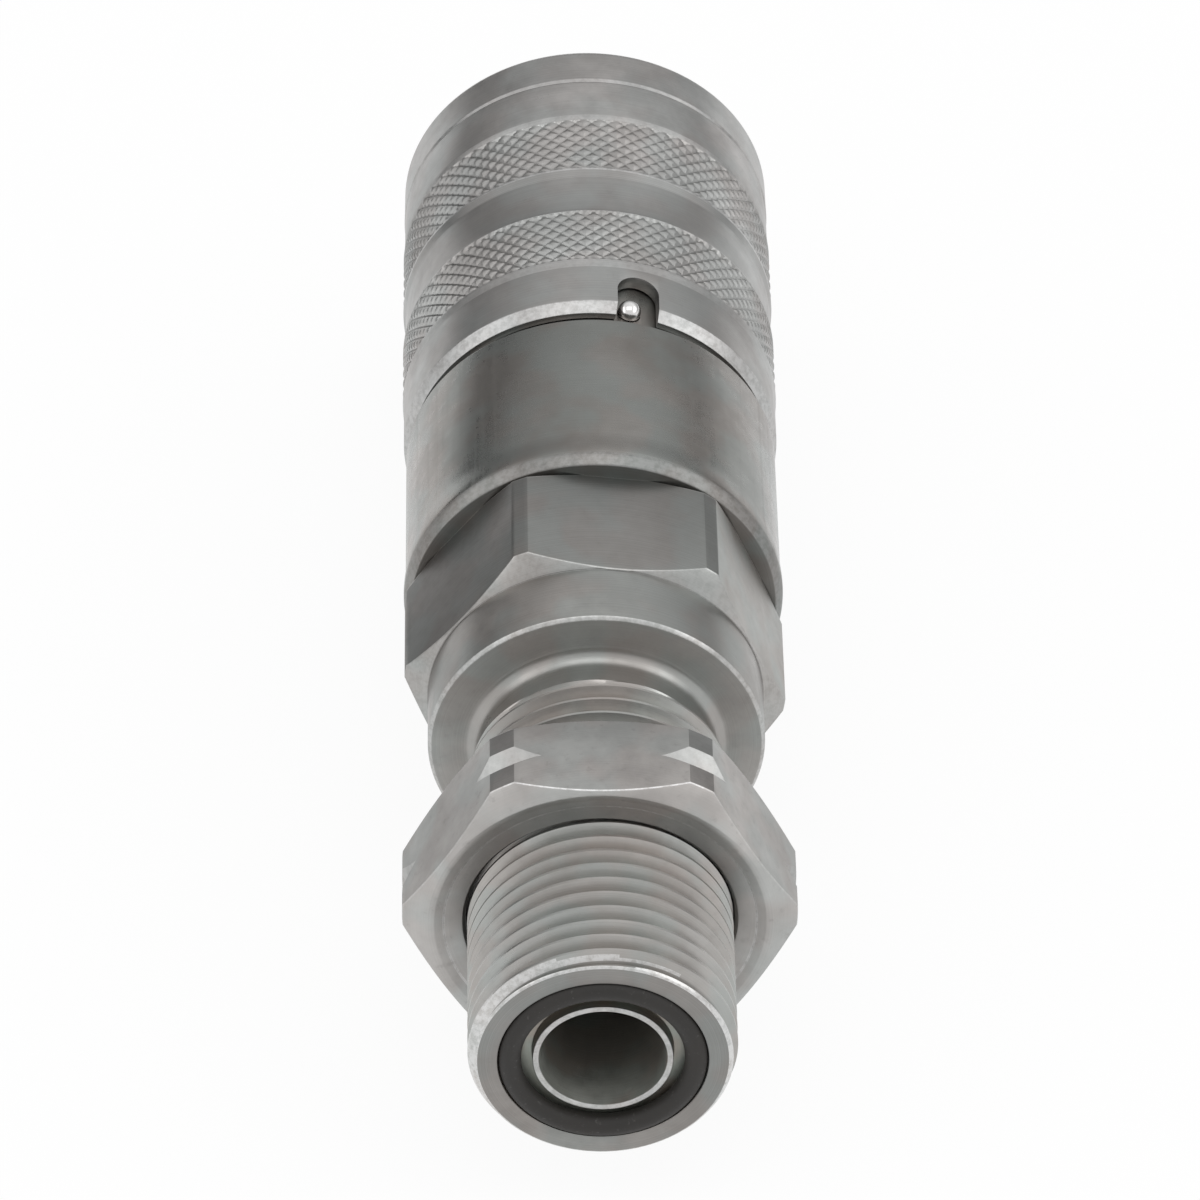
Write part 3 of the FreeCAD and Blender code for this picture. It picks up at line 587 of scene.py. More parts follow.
def thread_sheet(name, angles):
    """The thread between its two rims. Its rows follow the helix, so crests and roots are clean lines."""
    column = np.append(angles, angles[0] + TURN)
    knots = [0.0]
    knots += [FLANK * t for t in (0.06, 0.28, 0.52, 0.76, 1.0)]
    knots += [FLANK + ROOT * 0.5, FLANK + ROOT]
    knots += [FLANK + ROOT + FLANK * t for t in (0.24, 0.48, 0.72, 0.94, 1.0)]
    knots += [PITCH - CREST * 0.5]
    first = int(math.floor((THREAD_LOW - THREAD_FIRST) / PITCH)) - 2
    last = int(math.ceil((THREAD_HIGH - THREAD_FIRST) / PITCH)) + 1
    rows = [THREAD_FIRST + PITCH * (n + column / TURN) + knot for n in range(first, last) for knot in knots]
    along = np.clip(np.array(rows), THREAD_LOW, THREAD_HIGH)
    radius = thread_radius(along, column[None, :])
    grid = np.stack([radius * np.sin(column), along, radius * np.cos(column)], -1)
    index = np.arange(along.size).reshape(along.shape)
    a, b = index[:-1], index[1:]
    quads = np.stack([a[:, :-1], a[:, 1:], b[:, 1:], b[:, :-1]], -1).reshape(-1, 4)
    made = bpy.data.objects.new(name, raw_mesh(name, grid, quads.tolist()))
    scene.collection.objects.link(made)
    return made


def make_adapter():
    """The adapter: a front skin to the thread, the thread, and a rear skin back through the bore."""
    radius = HEX_CORNER
    shoulder = SHOULDER
    start = HEX_START
    stop = HEX_STOP
    angles = ring_of(400, hex_angles(HEX_FLATS, radius, HEX_TURN))
    rows = soften([
        (BORE, BORE_SPLIT), (BORE, END + 3.0), (BORE, END + LIP_DROP, 0.12), (LIP, END + LIP_DROP, 0.12),
        (LIP, END + GROOVE_DEEP, 0.15), (GROOVE, END + GROOVE_DEEP, 0.15), (GROOVE, END, 0.12),
        (BEVEL_RADIUS, END, 0.22), (MAJOR, END + BEVEL_LONG),
    ], closed=False)[:-1]
    rows.append((thread_radius(THREAD_LOW, angles), THREAD_LOW))
    front = skin("adapter_front", rows, angles, closed=False)
    fillet_start = END + 34.8
    rows = [(thread_radius(THREAD_HIGH, angles), THREAD_HIGH), (NECK, END + 33.3), (NECK, fillet_start)]
    for k in range(1, 9):
        swing = math.pi / 2 * k / 8
        rows.append((NECK + FILLET * (1 - math.cos(swing)), fillet_start + FILLET * math.sin(swing)))
    face = 13.45
    back = 13.75
    rows += soften([
        (10.9, shoulder), (13.1, shoulder, 0.06), (COLLAR, shoulder + 0.25, 0.06), (COLLAR, start, 0.15),
        (13.42, start),
    ], closed=False)
    # The hexagon has a cone at each end, which leaves round arcs on its flats.
    h = hex_radius(angles, HEX_FLATS, radius, HEX_TURN)
    near = start + 1.05 * (h - face) / (radius - face)
    far = stop - 0.85 * np.clip((h - back) / (radius - back), 0.0, 1.0)
    rows.append((face, start + 0.01))
    rows.append((h - 0.07, near - 0.045))
    rows.append((h - 0.02, near + 0.02))
    rows.append((h, near + 0.08))
    rows.append((h, far - 0.09))
    rows.append((h - 0.015, far))
    rows.append((np.minimum(h, back), stop - 0.02))
    rows += soften([
        (12.9, stop - 0.02), (12.2, stop - 0.02), (12.2, stop + 3.6, 0.1), (PILOT, stop + 3.6),
        (PILOT, stop + PILOT_LONG, 0.3), (POCKET, stop + PILOT_LONG, 0.2), (POCKET, stop + 1.0, 0.1),
        (SPIDER_SEAT, stop + 1.0, 0.1), (SPIDER_SEAT, stop - 1.0, 0.2), (BORE, stop - 3.73, 0.2),
        (BORE, BORE_SPLIT),
    ], closed=False)
    rear = skin("adapter_rear", rows, angles, closed=False)
    piece = weld("adapter", [front, thread_sheet("adapter_thread", angles), rear], sharp=26.0)
    fit(piece, "coupler_body", adapter_steel, "adapter_steel", "orfs_adapter")
    piece.data.materials.append(bore_steel)
    piece.data.materials.append(groove_lightened_steel)
    for polygon in piece.data.polygons:
        spot = polygon.center / MM
        reach = math.hypot(spot.x, spot.z)
        if reach < BORE + 0.01:
            polygon.material_index = 1
        elif LIP - 0.03 < reach < GROOVE + 0.01 and END + 0.36 < spot.y < END + 1.4:
            polygon.material_index = 2

    def rule(layers, reach, y, angle, out, ny):
        """Painted light and shade on the hex flats and corner strips, painted highlights with edge wear on
        the hex cone, shoulder rim, end bevel and inner lip, painted shade on the collar and end face, painted
        light on the shoulder face, and a lighter thread.
        """
        # Painted light and shade on the hex flats and corner strips.
        flat = (y > start) & (y < stop) & (np.abs(ny) < 0.12) & (reach > 13.4)
        hex_paint(layers, flat, angle, HEX_FLATS, radius, HEX_TURN, HEX_FLAT_SHADING, HEX_STRIP_SHADING)
        # Painted highlight, with edge wear, on the hexagon's near cone.
        cone = (y > start - 0.01) & (y < start + 1.15) & (ny < -0.2)
        layers["edge"][cone] = 0.14
        # Painted highlight, with edge wear, on the shoulder's rim.
        shoulder_highlight = (y > shoulder) & (y < shoulder + 0.26) & (reach > 13.0)
        layers["edge"][shoulder_highlight] = 0.32
        # Painted shade on the collar.
        collar = (y > shoulder + 0.26) & (y < start) & (reach > 13.3)
        layers["tone"][collar] = -0.14
        thread = (y > END + 1.12) & (y < shoulder - 3.0) & (reach < 10.4) & (reach > 9.2)
        layers["tone"][thread] = 0.18
        # Painted light on the shoulder face, which is also made duller.
        shoulder_face_light = (np.abs(y - shoulder) < 0.02) & (ny < -0.9)
        layers["matt"][shoulder_face_light] = 0.24
        layers["tone"][shoulder_face_light] = 0.12
        # Painted highlight, with edge wear, on the end bevel, which is also lightened.
        end_bevel_highlight = (y < END + 1.12) & (reach > 9.5) & (ny < -0.15) & (out > 0.2)
        layers["edge"][end_bevel_highlight] = 0.60
        layers["tone"][end_bevel_highlight] = 0.30
        # Painted shade on the end face.
        end_face_shading = (y < END + 0.02) & (ny < -0.9)
        layers["tone"][end_face_shading] = -0.26
        # Painted highlight, with edge wear, on the inner lip.
        inner_lip_highlight = (y < END + 0.4) & (reach < LIP + 0.02) & (ny < -0.3)
        layers["edge"][inner_lip_highlight] = 0.35

    paint(piece, rule)


make_adapter()


# ---------------------------------------------------------------- locknut
MARK_DEEP = 0.77
MARK_OPEN = 1.3


def make_locknut():
    """The locknut: countersunk face, bevelled hexagon with its V mark, and the thread inside."""
    start, stop, _ = place("bulkhead_locknut")
    radius = NUT_CORNER
    bore = 10.38
    angles = ring_of(360, hex_angles(NUT_FLATS, radius, NUT_TURN))
    h = hex_radius(angles, NUT_FLATS, radius, NUT_TURN)
    face = 13.4
    middle = (start + stop) / 2
    floor = radius - MARK_DEEP
    cone = (h - face) / (radius - face)
    near = start + 1.1 * cone
    far = stop - 1.1 * cone
    open_half = np.maximum(h - floor, 0.0) * MARK_OPEN
    rows = soften([
        (bore, start + 3.0), (bore, start + 0.72, 0.12), (10.66, start + 0.44, 0.05),
        (12.04, start + 0.235, 0.03), (12.16, start + 0.19, 0.03), (12.82, start + 0.02, 0.05),
        (13.0, start),
    ], closed=False)
    rows += [(13.3, start), (face, start + 0.012)]
    rows.append((h - 0.07, near - 0.045))
    rows.append((h - 0.02, near + 0.02))
    rows.append((h, near + 0.08))
    rows.append((h, middle - open_half - 0.01))
    rows.append((np.minimum(h, floor), middle))
    rows.append((h, middle + open_half + 0.01))
    rows.append((h, far - 0.08))
    rows.append((h - 0.02, far - 0.02))
    rows.append((h - 0.07, far + 0.045))
    rows.append((face, stop - 0.012))
    rows += [(13.3, stop), (12.6, stop)]
    rows += soften([
        (11.5, stop), (11.3, stop, 0.1), (bore, stop - 0.85, 0.2), (bore, stop - 2.0),
    ], closed=False)
    # The inner thread, as shallow ridges that climb with the outer thread's pitch.
    for along in np.arange(stop - 2.1, start + 3.1, -0.1):
        s = (along / PITCH - angles / TURN) % 1.0
        rows.append((bore + 0.45 * np.clip(1 - np.abs(s - 0.5) * 3.2, 0, 1), along))
    piece = skin("locknut", rows, angles, sharp=26.0)
    fit(piece, "locknut", nut_steel, "nut_steel", "bulkhead_locknut")

    def rule(layers, reach, y, angle, out, ny):
        """Painted light and shade on the flats and corner strips, painted highlights with edge wear on both
        cone rims and in the V mark, painted light on the face and countersink, and a painted highlight on the
        small step there.
        """
        here = hex_radius(angle, NUT_FLATS, radius, NUT_TURN)
        # Painted light and shade on the flats and corner strips.
        flat = (np.abs(ny) < 0.12) & (reach > 13.4)
        hex_paint(layers, flat, angle, NUT_FLATS, radius, NUT_TURN, NUT_FLAT_SHADING, NUT_STRIP_SHADING)
        # Painted highlights, with edge wear, on the cone rims; the strongest is on the top flat.
        rim = (reach > here - 0.085) & (np.abs(ny) > 0.12)
        top_flat_highlight = np.abs(angle - math.radians(NUT_TURN)) < TURN / 12
        layers["edge"][rim & (y < middle)] = np.where(top_flat_highlight, 0.62, 0.22)[rim & (y < middle)]
        layers["edge"][rim & (y > middle)] = 0.2
        # Painted highlight on the slopes of the V mark.
        mark_highlight = (np.abs(y - middle) < 1.1) & (ny < -0.3) & (reach > 14.3)
        layers["edge"][mark_highlight] = 0.13
        # Painted light on the nut's face.
        end_face_shading = (ny < -0.3) & (reach > 12.85) & (y < middle - 1.2)
        layers["tone"][end_face_shading] = 0.22
        # Painted light on the countersink, which is also made duller.
        countersink = (reach < 12.85) & (y < start + 0.5) & (ny < -0.3)
        layers["tone"][countersink] = 0.25
        layers["matt"][countersink] = 0.12
        # Painted highlight on the small step in the countersink.
        crease_highlight = (reach > 12.0) & (reach < 12.2) & (y < start + 0.3)
        layers["edge"][crease_highlight] = 0.4

    paint(piece, rule)


make_locknut()


# ---------------------------------------------------------------- seals
FLASH = 0.012
RING_STEPS = 28


def torus(name, node):
    """An O-ring that fills its node's box, with the fine mould line of its parting."""
    low, high, outer = place(node)
    wire = (high - low) / 2
    middle = outer - wire
    outline = []
    for k in range(RING_STEPS):
        swing = TURN * k / RING_STEPS
        reach = wire - FLASH + FLASH * math.exp(-(math.sin(swing) / 0.12) ** 2)
        outline.append((middle - reach * math.cos(swing), low + wire - reach * math.sin(swing)))
    return skin(name, outline, ring_of(192), sharp=60.0)


for name, node in (
    ("face_seal", "face_seal_oring"), ("pilot_seal", "adapter_oring"), ("valve_seal", "valve_sleeve_oring"),
):
    fit(torus(name, node), "coupler_body", seal_rubber, "seal_rubber", node)


# ---------------------------------------------------------------- socket body
BALL_ANGLES = [TURN * (i + 0.5) / 8 for i in range(8)]
HOLE = 1.85
POCKET_RADIUS = 0.99

# Radii outside, from the barrel forwards, and inside, from the mouth back.
BARREL = 15.17
SWELL = 15.32
SKIRT = 14.15
WAIST = 12.3
CAGE = 12.9
RING_GROOVE = 12.2
SOCKET = 9.9
CHAMBER = 10.75
VALVE_BORE = 8.3
PILOT_BORE = 11.9


def make_body():
    """The socket body, with its eight ball holes and the pocket of the stop ball."""
    s = JOINT
    step = s + 18.1
    skirt = s + 24.5
    cage = s + 44.0
    chamber = s + 40.2
    spring_seat = s + 23.0
    outline = [
        (WAIST, s, 0.1), (14.75, s, 0.12), (SWELL, s + 0.9, 0.35), (SWELL, s + 1.6, 0.4),
        (BARREL, s + 3.2, 0.6), (BARREL, step, 0.22), (SKIRT, step, 0.15), (SKIRT, skirt, 0.2),
        (WAIST, skirt, 0.3), (WAIST, cage, 0.2), (CAGE, cage, 0.2), (CAGE, s + 51.55, 0.06),
        (RING_GROOVE, s + 51.55), (RING_GROOVE, s + 52.85), (CAGE, s + 52.85, 0.06),
        (CAGE, MOUTH, 0.3), (10.5, MOUTH, 0.12), (SOCKET, MOUTH - 0.6, 0.15), (SOCKET, chamber, 0.1),
        (CHAMBER, chamber), (CHAMBER, spring_seat), (VALVE_BORE, spring_seat, 0.15),
        (VALVE_BORE, s + 21.9), (SOCKET, s + 21.9), (SOCKET, s + 18.4), (VALVE_BORE, s + 18.4),
        (VALVE_BORE, s + 12.0, 0.15), (PILOT_BORE, s + 12.0), (PILOT_BORE, s + 3.6), (WAIST, s + 3.6),
    ]
    piece = skin("socket", soften(outline), ring_of(256), sharp=26.0)
    ball_y = (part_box("locking_ball_1")[0].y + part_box("locking_ball_1")[1].y) / 2 / MM
    cutters = []
    for k, angle in enumerate(BALL_ANGLES):
        matrix = outward(angle) @ Matrix.Translation((0, ball_y, 0))
        cutters.append(prism("hole_%d" % k, round_sides(HOLE), 8.9, 14.0, matrix))
    lo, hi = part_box("sleeve_stop_ball")
    centre = (lo + hi) / 2 / MM
    angle = math.atan2(centre.x, centre.z)
    matrix = outward(angle) @ Matrix.Translation((0, centre.y, 0))
    cutters.append(prism("pocket", round_sides(POCKET_RADIUS), 13.45, 15.2, matrix))
    piece = carve(piece, cutters, sharp=26.0)
    fit(piece, "coupler_body", body_steel, "body_steel", "socket_body")

    def rule(layers, reach, y, angle, out, ny):
        """Painted shade on the barrel's rear rim, which is also duller, and a painted highlight with edge
        wear where it faces outward.
        """
        # Painted shade on the rear rim, with a painted highlight and edge wear on its outward faces.
        rim = (y < s + 1.0) & (ny < -0.2)
        layers["tone"][rim] = -0.24
        layers["matt"][rim] = 0.12
        layers["edge"][rim & (out > 0.2)] = 0.16

    paint(piece, rule)


make_body()


def ball(name, node, body):
    """A polished ball in its node's box."""
    lo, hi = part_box(node)
    centre = (lo + hi) / 2
    bm = bmesh.new()
    bmesh.ops.create_icosphere(bm, subdivisions=4, radius=(hi.y - lo.y) / 2)
    mesh = bpy.data.meshes.new(name)
    bm.to_mesh(mesh)
    bm.free()
    mesh.transform(Matrix.Translation(centre))
    fit(link(mesh, name, 60.0), body, ball_steel, "ball_steel", node)


ball("stop_ball", "sleeve_stop_ball", "coupler_body")
for number in range(1, 9):
    ball("ball_%d" % number, "locking_ball_%d" % number, "ball_%d" % number)


# ---------------------------------------------------------------- locking sleeve
KNURLS = 70
KNURL_PITCH = 1.34
KNURL_DEEP = 0.22
NOTCH = math.radians(15.9)
NOTCH_HALF = 1.75
NOTCH_DEEP = 4.44
NOTCH_REACH = math.radians(8.2)
NOTCH_BEVEL = 0.13
SLEEVE_BORE = 14.35
TAIL_BORE = 14.25
GUIDE_BORE = 13.0


# Painted highlights on the borders of the knurled bands: first and last position from the sleeve's start in
# mm, and strength.
BAND_HIGHLIGHTS = (
    (5.4, 6.28, 0.12), (12.72, 12.98, 0.3), (18.28, 18.5, 0.3), (25.1, 25.9, 0.14), (30.45, 30.85, 0.16),
)


def knurl(angles, along):
    """Diamond knurl height, from 0 in the grooves to 1 on the crests."""
    u = angles * KNURLS / TURN + along / KNURL_PITCH
    v = angles * KNURLS / TURN - along / KNURL_PITCH
    du = np.abs(u - np.round(u))
    dv = np.abs(v - np.round(v))
    height = np.clip(np.minimum(du, dv) / 0.38, 0, 1)
    return 1 - (1 - height) ** 1.25


def make_sleeve():
    """The locking sleeve: a rear ring with the notch cut out, and the knurled part in front of it."""
    start = SLEEVE_START
    stop = SLEEVE_END
    angles = ring_of(KNURLS * 12)
    split = start + 5.3
    band = GRIP - 0.12
    low = GRIP - 0.38

    def knurled(first, last):
        """Rows of a knurled band, which fades out at both ends."""
        rows = []
        step = KNURL_PITCH / 12
        count = int(round((last - first) / step))
        for k in range(count + 1):
            along = first + (last - first) * k / count
            inside = min(k, count - k) / 1.5
            cut = (1 - knurl(angles, along)) * min(1.0, inside) * KNURL_DEEP
            rows.append((GRIP - 0.01 - cut, along))
        return rows

    outer = soften([
        (band, split), (band, split + 0.12, 0.1), (GRIP - 0.02, split + 0.82, 0.1),
        (GRIP - 0.01, split + 0.95),
    ], closed=False)
    outer += knurled(start + 6.3, start + 12.7)
    outer += soften([
        (GRIP - 0.02, start + 12.78), (GRIP - 0.17, start + 12.95, 0.05), (GRIP - 0.21, start + 13.3),
        (GRIP - 0.25, start + 15.3, 1.0), (GRIP - 0.21, start + 17.5, 0.1), (GRIP - 0.02, start + 18.3, 0.08),
        (GRIP - 0.01, start + 18.42),
    ], closed=False)
    outer += knurled(start + 18.5, start + 25.1)
    outer += soften([
        (low + 0.06, start + 25.2), (band - 0.01, start + 25.9, 0.12), (band, start + 26.1),
        (band, start + 30.35, 0.05), (band - 0.05, start + 30.5, 0.03), (GRIP - 0.06, start + 30.8, 0.06),
        (GRIP - 0.08, start + 31.0), (GRIP - 0.1, stop - 0.6, 0.2), (GRIP - 0.5, stop, 0.15),
        (SLEEVE_BORE, stop, 0.08), (SLEEVE_BORE, start + 28.7, 0.05), (13.72, start + 28.7),
        (GUIDE_BORE, start + 26.05, 0.1), (GUIDE_BORE, start + 20.7, 0.1), (SLEEVE_BORE, start + 20.7),
        (SLEEVE_BORE, split),
    ], closed=False)
    front = skin("sleeve_front", outer, angles, closed=False)

    rear_outline = soften([
        (TAIL_BORE, start, 0.06), (14.8, start, 0.05), (band, start + 0.98, 0.08), (band, split),
        (SLEEVE_BORE, split), (SLEEVE_BORE, split - 0.1), (TAIL_BORE, split - 0.2),
    ])
    rear = skin("sleeve_rear", rear_outline, angles)
    sides = [(-NOTCH_HALF, -2.0), (NOTCH_HALF, -2.0)]
    for k in range(25):
        swing = math.pi * k / 24
        sides.append((NOTCH_HALF * math.cos(swing), NOTCH_DEEP - NOTCH_HALF + NOTCH_HALF * math.sin(swing)))
    matrix = outward(NOTCH) @ Matrix.Translation((0, start, 0))
    rear = carve(rear, [prism("slot", sides, 12.0, 17.0, matrix)])
    # The ring's front end is taken off, so that its rim meets the front part, and the notch is bevelled.
    bm = bmesh.new()
    bm.from_mesh(rear.data)
    seam = (split - 0.005) * MM
    gone = [f for f in bm.faces if all(v.co.y > seam for v in f.verts)]
    bmesh.ops.delete(bm, geom=gone, context="FACES")
    bmesh.ops.remove_doubles(bm, verts=bm.verts, dist=1e-7)
    axis = Vector((math.sin(NOTCH), 0, math.cos(NOTCH)))
    rim = []
    for e in bm.edges:
        if len(e.link_faces) != 2 or e.calc_face_angle(0) < math.radians(45):
            continue
        spot = (e.verts[0].co + e.verts[1].co) / 2
        flat = Vector((spot.x, 0, spot.z))
        near = flat.normalized().dot(axis) > math.cos(NOTCH_REACH)
        if near and spot.y > (start + 0.02) * MM:
            rim.append(e)
    bmesh.ops.bevel(
        bm, geom=rim, offset=NOTCH_BEVEL * MM, offset_type="OFFSET", segments=2, profile=0.5,
        affect="EDGES", clamp_overlap=True,
    )
    bm.to_mesh(rear.data)
    bm.free()
    piece = weld("sleeve", [rear, front], sharp=30.0)
    fit(piece, "sleeve", sleeve_steel, "sleeve_steel", "locking_sleeve")

    def rule(layers, reach, y, angle, out, ny):
        """A painted highlight with edge wear on the rear chamfer, painted highlights on the borders of the
        knurled bands, and a darker middle band.
        """
        along = y - start
        outside = (reach > 14.7) & (out > 0.15)
        # Painted highlight, with edge wear, on the rear chamfer.
        bevel = outside & (along < 1.05) & (ny < -0.2)
        layers["edge"][bevel] = 0.30
        layers["matt"][bevel] = 0.04
        # Painted highlights on the borders of the knurled bands.
        for low_y, high_y, value in BAND_HIGHLIGHTS:
            layers["edge"][outside & (along > low_y) & (along < high_y)] = value
        layers["tone"][outside & (along > 12.9) & (along < 18.3)] = -0.05

    paint(piece, rule)


make_sleeve()


# ---------------------------------------------------------------- inner pieces
def make_inner():
    """The turned pieces that lie inside the body and the sleeve."""
    low, high, outer = place("sleeve_retaining_ring")
    ring = lathe("retaining_ring", [
        (12.25, low, 0.1), (outer, low, 0.15), (outer, high, 0.15), (12.25, high, 0.1),
    ])
    window = [(-2.0, low - 1), (2.0, low - 1), (2.0, high + 1), (-2.0, high + 1)]
    gap = prism("gap", window, -16.0, -10.0, Matrix.Identity(4))
    fit(carve(ring, [gap]), "coupler_body", spring_steel, "spring_steel", "sleeve_retaining_ring")

    low, high, outer = place("sleeve_seat_washer")
    fit(lathe("seat_washer", [
        (12.45, low, 0.12), (outer, low, 0.12), (outer, high, 0.12), (12.45, high, 0.12),
    ]), "sleeve_seat", spring_steel, "spring_steel", "sleeve_seat_washer")

    low, high, outer = place("ball_retainer")
    fit(lathe("retainer", [
        (8.35, low, 0.1), (outer, low, 0.15), (outer, low + 3.0, 0.15), (9.8, low + 3.0, 0.1),
        (9.8, high - 0.4, 0.15), (9.4, high, 0.15), (8.35, high, 0.12),
    ]), "retainer", inner_steel, "inner_steel", "ball_retainer")

    low, high, _ = place("valve_sleeve")
    fit(lathe("valve_tube", [
        (7.0, low, 0.1), (7.9, low, 0.1), (8.2, low + 0.5, 0.2), (8.2, high, 0.2), (5.72, high, 0.15),
        (5.72, high - 3.2, 0.3), (7.0, high - 4.48, 0.3),
    ]), "valve", inner_steel, "inner_steel", "valve_sleeve")

    low, high, outer = place("valve_backup_ring")
    fit(lathe("backup_ring", [
        (8.3, low, 0.08), (outer, low, 0.08), (outer, high, 0.08), (8.3, high, 0.08),
    ]), "coupler_body", backup_plastic, "backup_plastic", "valve_backup_ring")

    low, high, _ = place("valve_stem")
    head = 5.66
    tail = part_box("stem_spider")[1].y / MM
    fit(lathe("stem", [
        (0.0, low), (2.0, low, 0.3), (2.0, tail, 0.1), (2.6, tail, 0.1), (2.6, high - 5.0, 0.8),
        (head, high - 2.8, 0.2), (head, high - 2.0, 0.05), (4.6, high - 2.0, 0.05), (4.6, high - 0.8, 0.05),
        (head, high - 0.8, 0.05), (head, high, 0.2), (1.6, high, 0.08), (1.5, high - 0.06, 0.05),
        (0.0, high - 0.08),
    ]), "coupler_body", inner_steel, "inner_steel", "valve_stem")

    low, high, outer = place("stem_head_seal")
    fit(lathe("head_seal", [
        (4.61, low, 0.1), (outer - 0.15, low, 0.1), (outer, (low + high) / 2, 0.4),
        (outer - 0.15, high, 0.1), (4.61, high, 0.1),
    ]), "coupler_body", seal_rubber, "seal_rubber", "stem_head_seal")

    low, high, outer = place("stem_spider")
    spider = lathe("spider", [
        (2.05, low, 0.1), (outer, low, 0.15), (outer, high, 0.15), (2.05, high, 0.1),
    ])
    holes = []
    lay = Matrix.Rotation(-math.pi / 2, 4, "X")
    ring = 5.35
    for k in range(6):
        angle = TURN * k / 6
        centre = (ring * math.sin(angle), -ring * math.cos(angle))
        holes.append(prism("way_%d" % k, round_sides(1.45, 40, centre), low - 1, high + 1, lay))
    fit(carve(spider, holes), "coupler_body", inner_steel, "inner_steel", "stem_spider")

    low, high, _ = place("stem_nut")
    flats = 6.5
    inside = flats / 2
    corner = 3.77
    angles = ring_of(96, hex_angles(flats, corner, 0.0))
    h = hex_radius(angles, flats, corner, 0.0)
    cone = 0.4 * (h - inside) / (corner - inside)
    rows = [
        (2.05, low + 0.4), (2.3, low + 0.02), (inside, low), (h - 0.02, low + cone),
        (h, low + cone + 0.08), (h, high - cone - 0.08), (h - 0.02, high - cone), (inside, high),
        (2.3, high - 0.02), (2.05, high - 0.4),
    ]
    fit(skin("tail_nut", rows, angles), "coupler_body", inner_steel, "inner_steel", "stem_nut")


make_inner()


WIRE = 0.5
CLOSED_TURNS = 0.7


def make_spring(name, node, turns, joint=""):
    """A spring in its node's box, with closed end turns.

    Where a joint is named, the spring gets a mesh of its own.
    """
    low, high, outer = place(node)
    wire = WIRE
    middle = outer - wire
    rise = high - low - 2 * wire
    count = int(turns * 60)
    share = np.linspace(0, 1, count)
    dead = CLOSED_TURNS / turns
    free = np.clip((share - dead) / (1 - 2 * dead), 0, 1)
    along = low + wire + rise * (0.88 * free + 0.12 * share)
    swing = TURN * turns * share
    path = np.stack([middle * np.sin(swing), along, middle * np.cos(swing)], 1)
    piece = fit(tube(name, path, wire), "coupler_body", spring_steel, "spring_steel", node)
    if joint:
        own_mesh(piece)


make_spring("retainer_coil", "retainer_spring", 4.4, "retainer_push")
make_spring("valve_coil", "valve_spring", 3.9, "valve_push")
make_spring("sleeve_coil", "sleeve_spring", 7.4)


# ---------------------------------------------------------------- studio
FLOOR_GAP = 0.0002
WHITE = (1.0, 1.0, 1.0, 1.0)


def make_stage():
    """A pale floor, near white to the camera and in reflections, and clear from below."""
    low = cad_box[0].z
    bm = bmesh.new()
    bmesh.ops.create_grid(bm, x_segments=8, y_segments=8, size=6.0)
    mesh = bpy.data.meshes.new("floor")
    bm.to_mesh(mesh)
    bm.free()
    floor = bpy.data.objects.new("floor", mesh)
    scene.collection.objects.link(floor)
    floor.location = (0, 0, low - FLOOR_GAP)
    made = bpy.data.materials.new("floor_paper")
    made.use_nodes = True
    tree = made.node_tree
    tree.nodes.clear()
    output = tree.nodes.new("ShaderNodeOutputMaterial")
    where = tree.nodes.new("ShaderNodeTexCoord").outputs["Object"]
    soft = noise(tree, where, 900.0, 3.0)
    shade = blend_colour(tree, soft, [0.86, 0.86, 0.86, 1.0], [0.88, 0.88, 0.88, 1.0])
    paper = wire_up(tree, "ShaderNodeBsdfDiffuse", None, Color=shade)
    glow = wire_up(tree, "ShaderNodeEmission", None, Color=WHITE, Strength=1.0)
    path = tree.nodes.new("ShaderNodeLightPath")
    seen = math_node(tree, "MAXIMUM", path.outputs["Is Camera Ray"], path.outputs["Is Glossy Ray"])
    seen = math_node(tree, "MAXIMUM", seen, path.outputs["Is Transmission Ray"])
    seen = times(tree, seen, 0.92)
    mix = wire_up(tree, "ShaderNodeMixShader", None, i0=seen, i1=paper.outputs[0], i2=glow.outputs[0])
    clear = tree.nodes.new("ShaderNodeBsdfTransparent")
    back = tree.nodes.new("ShaderNodeNewGeometry").outputs["Backfacing"]
    both = wire_up(tree, "ShaderNodeMixShader", None, i0=back, i1=mix.outputs[0], i2=clear.outputs[0])
    tree.links.new(both.outputs[0], output.inputs[0])
    mesh.materials.append(made)


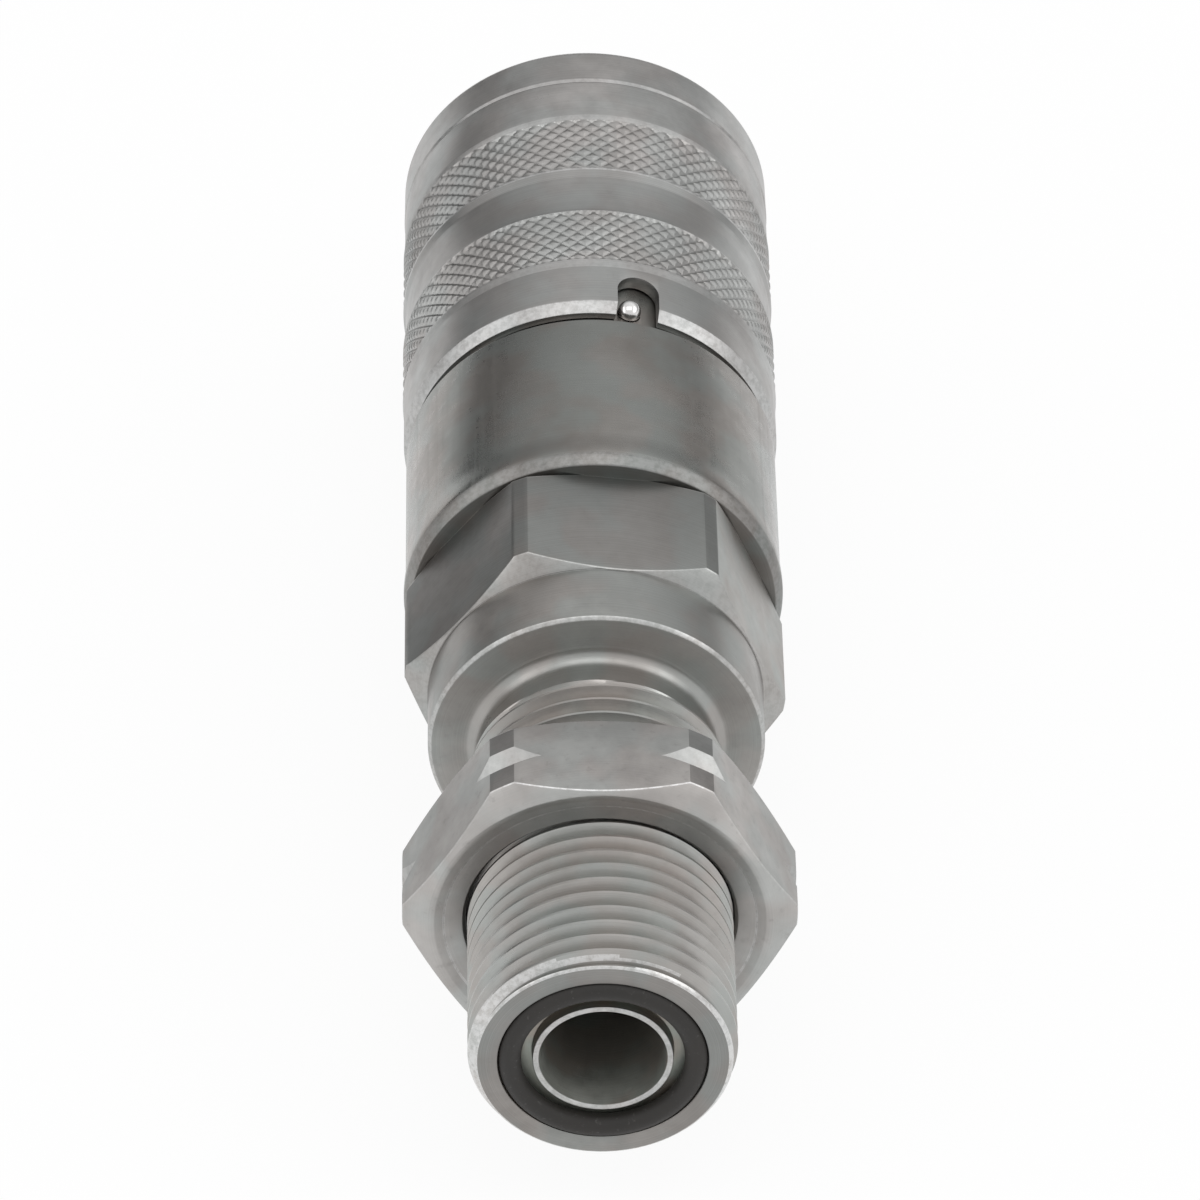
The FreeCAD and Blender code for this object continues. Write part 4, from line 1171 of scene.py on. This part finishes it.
def make_world():
    """Soft studio light by direction.

    It is even in front, dark low down at the back and brighter with height, with a box at each side.
    """
    world = bpy.data.worlds.new("studio")
    scene.world = world
    world.use_nodes = True
    tree = world.node_tree
    tree.nodes.clear()
    output = tree.nodes.new("ShaderNodeOutputWorld")
    where = tree.nodes.new("ShaderNodeTexCoord").outputs["Generated"]
    parts = wire_up(tree, "ShaderNodeSeparateXYZ", None, Vector=where)
    behind = spread(tree, parts.outputs[2], 0.05, 0.7)
    low = spread(tree, parts.outputs[0], -0.5, 0.5, 0.06, 0.30)
    back = plus(tree, low, times(tree, behind, 0.76))
    front = spread(tree, parts.outputs[1], 0.25, -0.35)
    share = wire_up(tree, "ShaderNodeMix", None, i0=front, i2=back, i3=0.85)
    boxes = spread(tree, math_node(tree, "ABSOLUTE", parts.outputs[0]), 0.55, 0.75)
    boxes = times(tree, boxes, spread(tree, parts.outputs[2], 0.20, 0.40))
    boxes = times(tree, boxes, spread(tree, parts.outputs[1], 0.45, 0.20))
    level = plus(tree, share.outputs[0], times(tree, boxes, 0.9))
    # The camera sees near white in place of the studio.
    seen = tree.nodes.new("ShaderNodeLightPath").outputs["Is Camera Ray"]
    studio = times(tree, level, math_node(tree, "SUBTRACT", 1.0, seen))
    level = plus(tree, studio, times(tree, seen, 0.97))
    glow = wire_up(tree, "ShaderNodeBackground", None, Strength=level, Color=WHITE)
    tree.links.new(glow.outputs[0], output.inputs[0])


def lamp(name, place_at, aim, size, power):
    """A soft rectangular lamp aimed at a point."""
    data = bpy.data.lights.new(name, "AREA")
    data.shape = "RECTANGLE"
    data.size, data.size_y = size
    data.energy = power
    made = bpy.data.objects.new(name, data)
    scene.collection.objects.link(made)
    made.location = place_at
    made.rotation_euler = (Vector(aim) - Vector(place_at)).to_track_quat("-Z", "Y").to_euler()


make_stage()
make_world()
middle = (cad_box[0] + cad_box[1]) / 2
lamp("key", (0.0, middle.y - 0.25, 0.95), middle, (0.9, 0.6), 1.5)
lamp("side", (0.9, middle.y - 0.3, 0.55), middle, (0.5, 0.6), 0.4)

scene.view_settings.view_transform = "Standard"
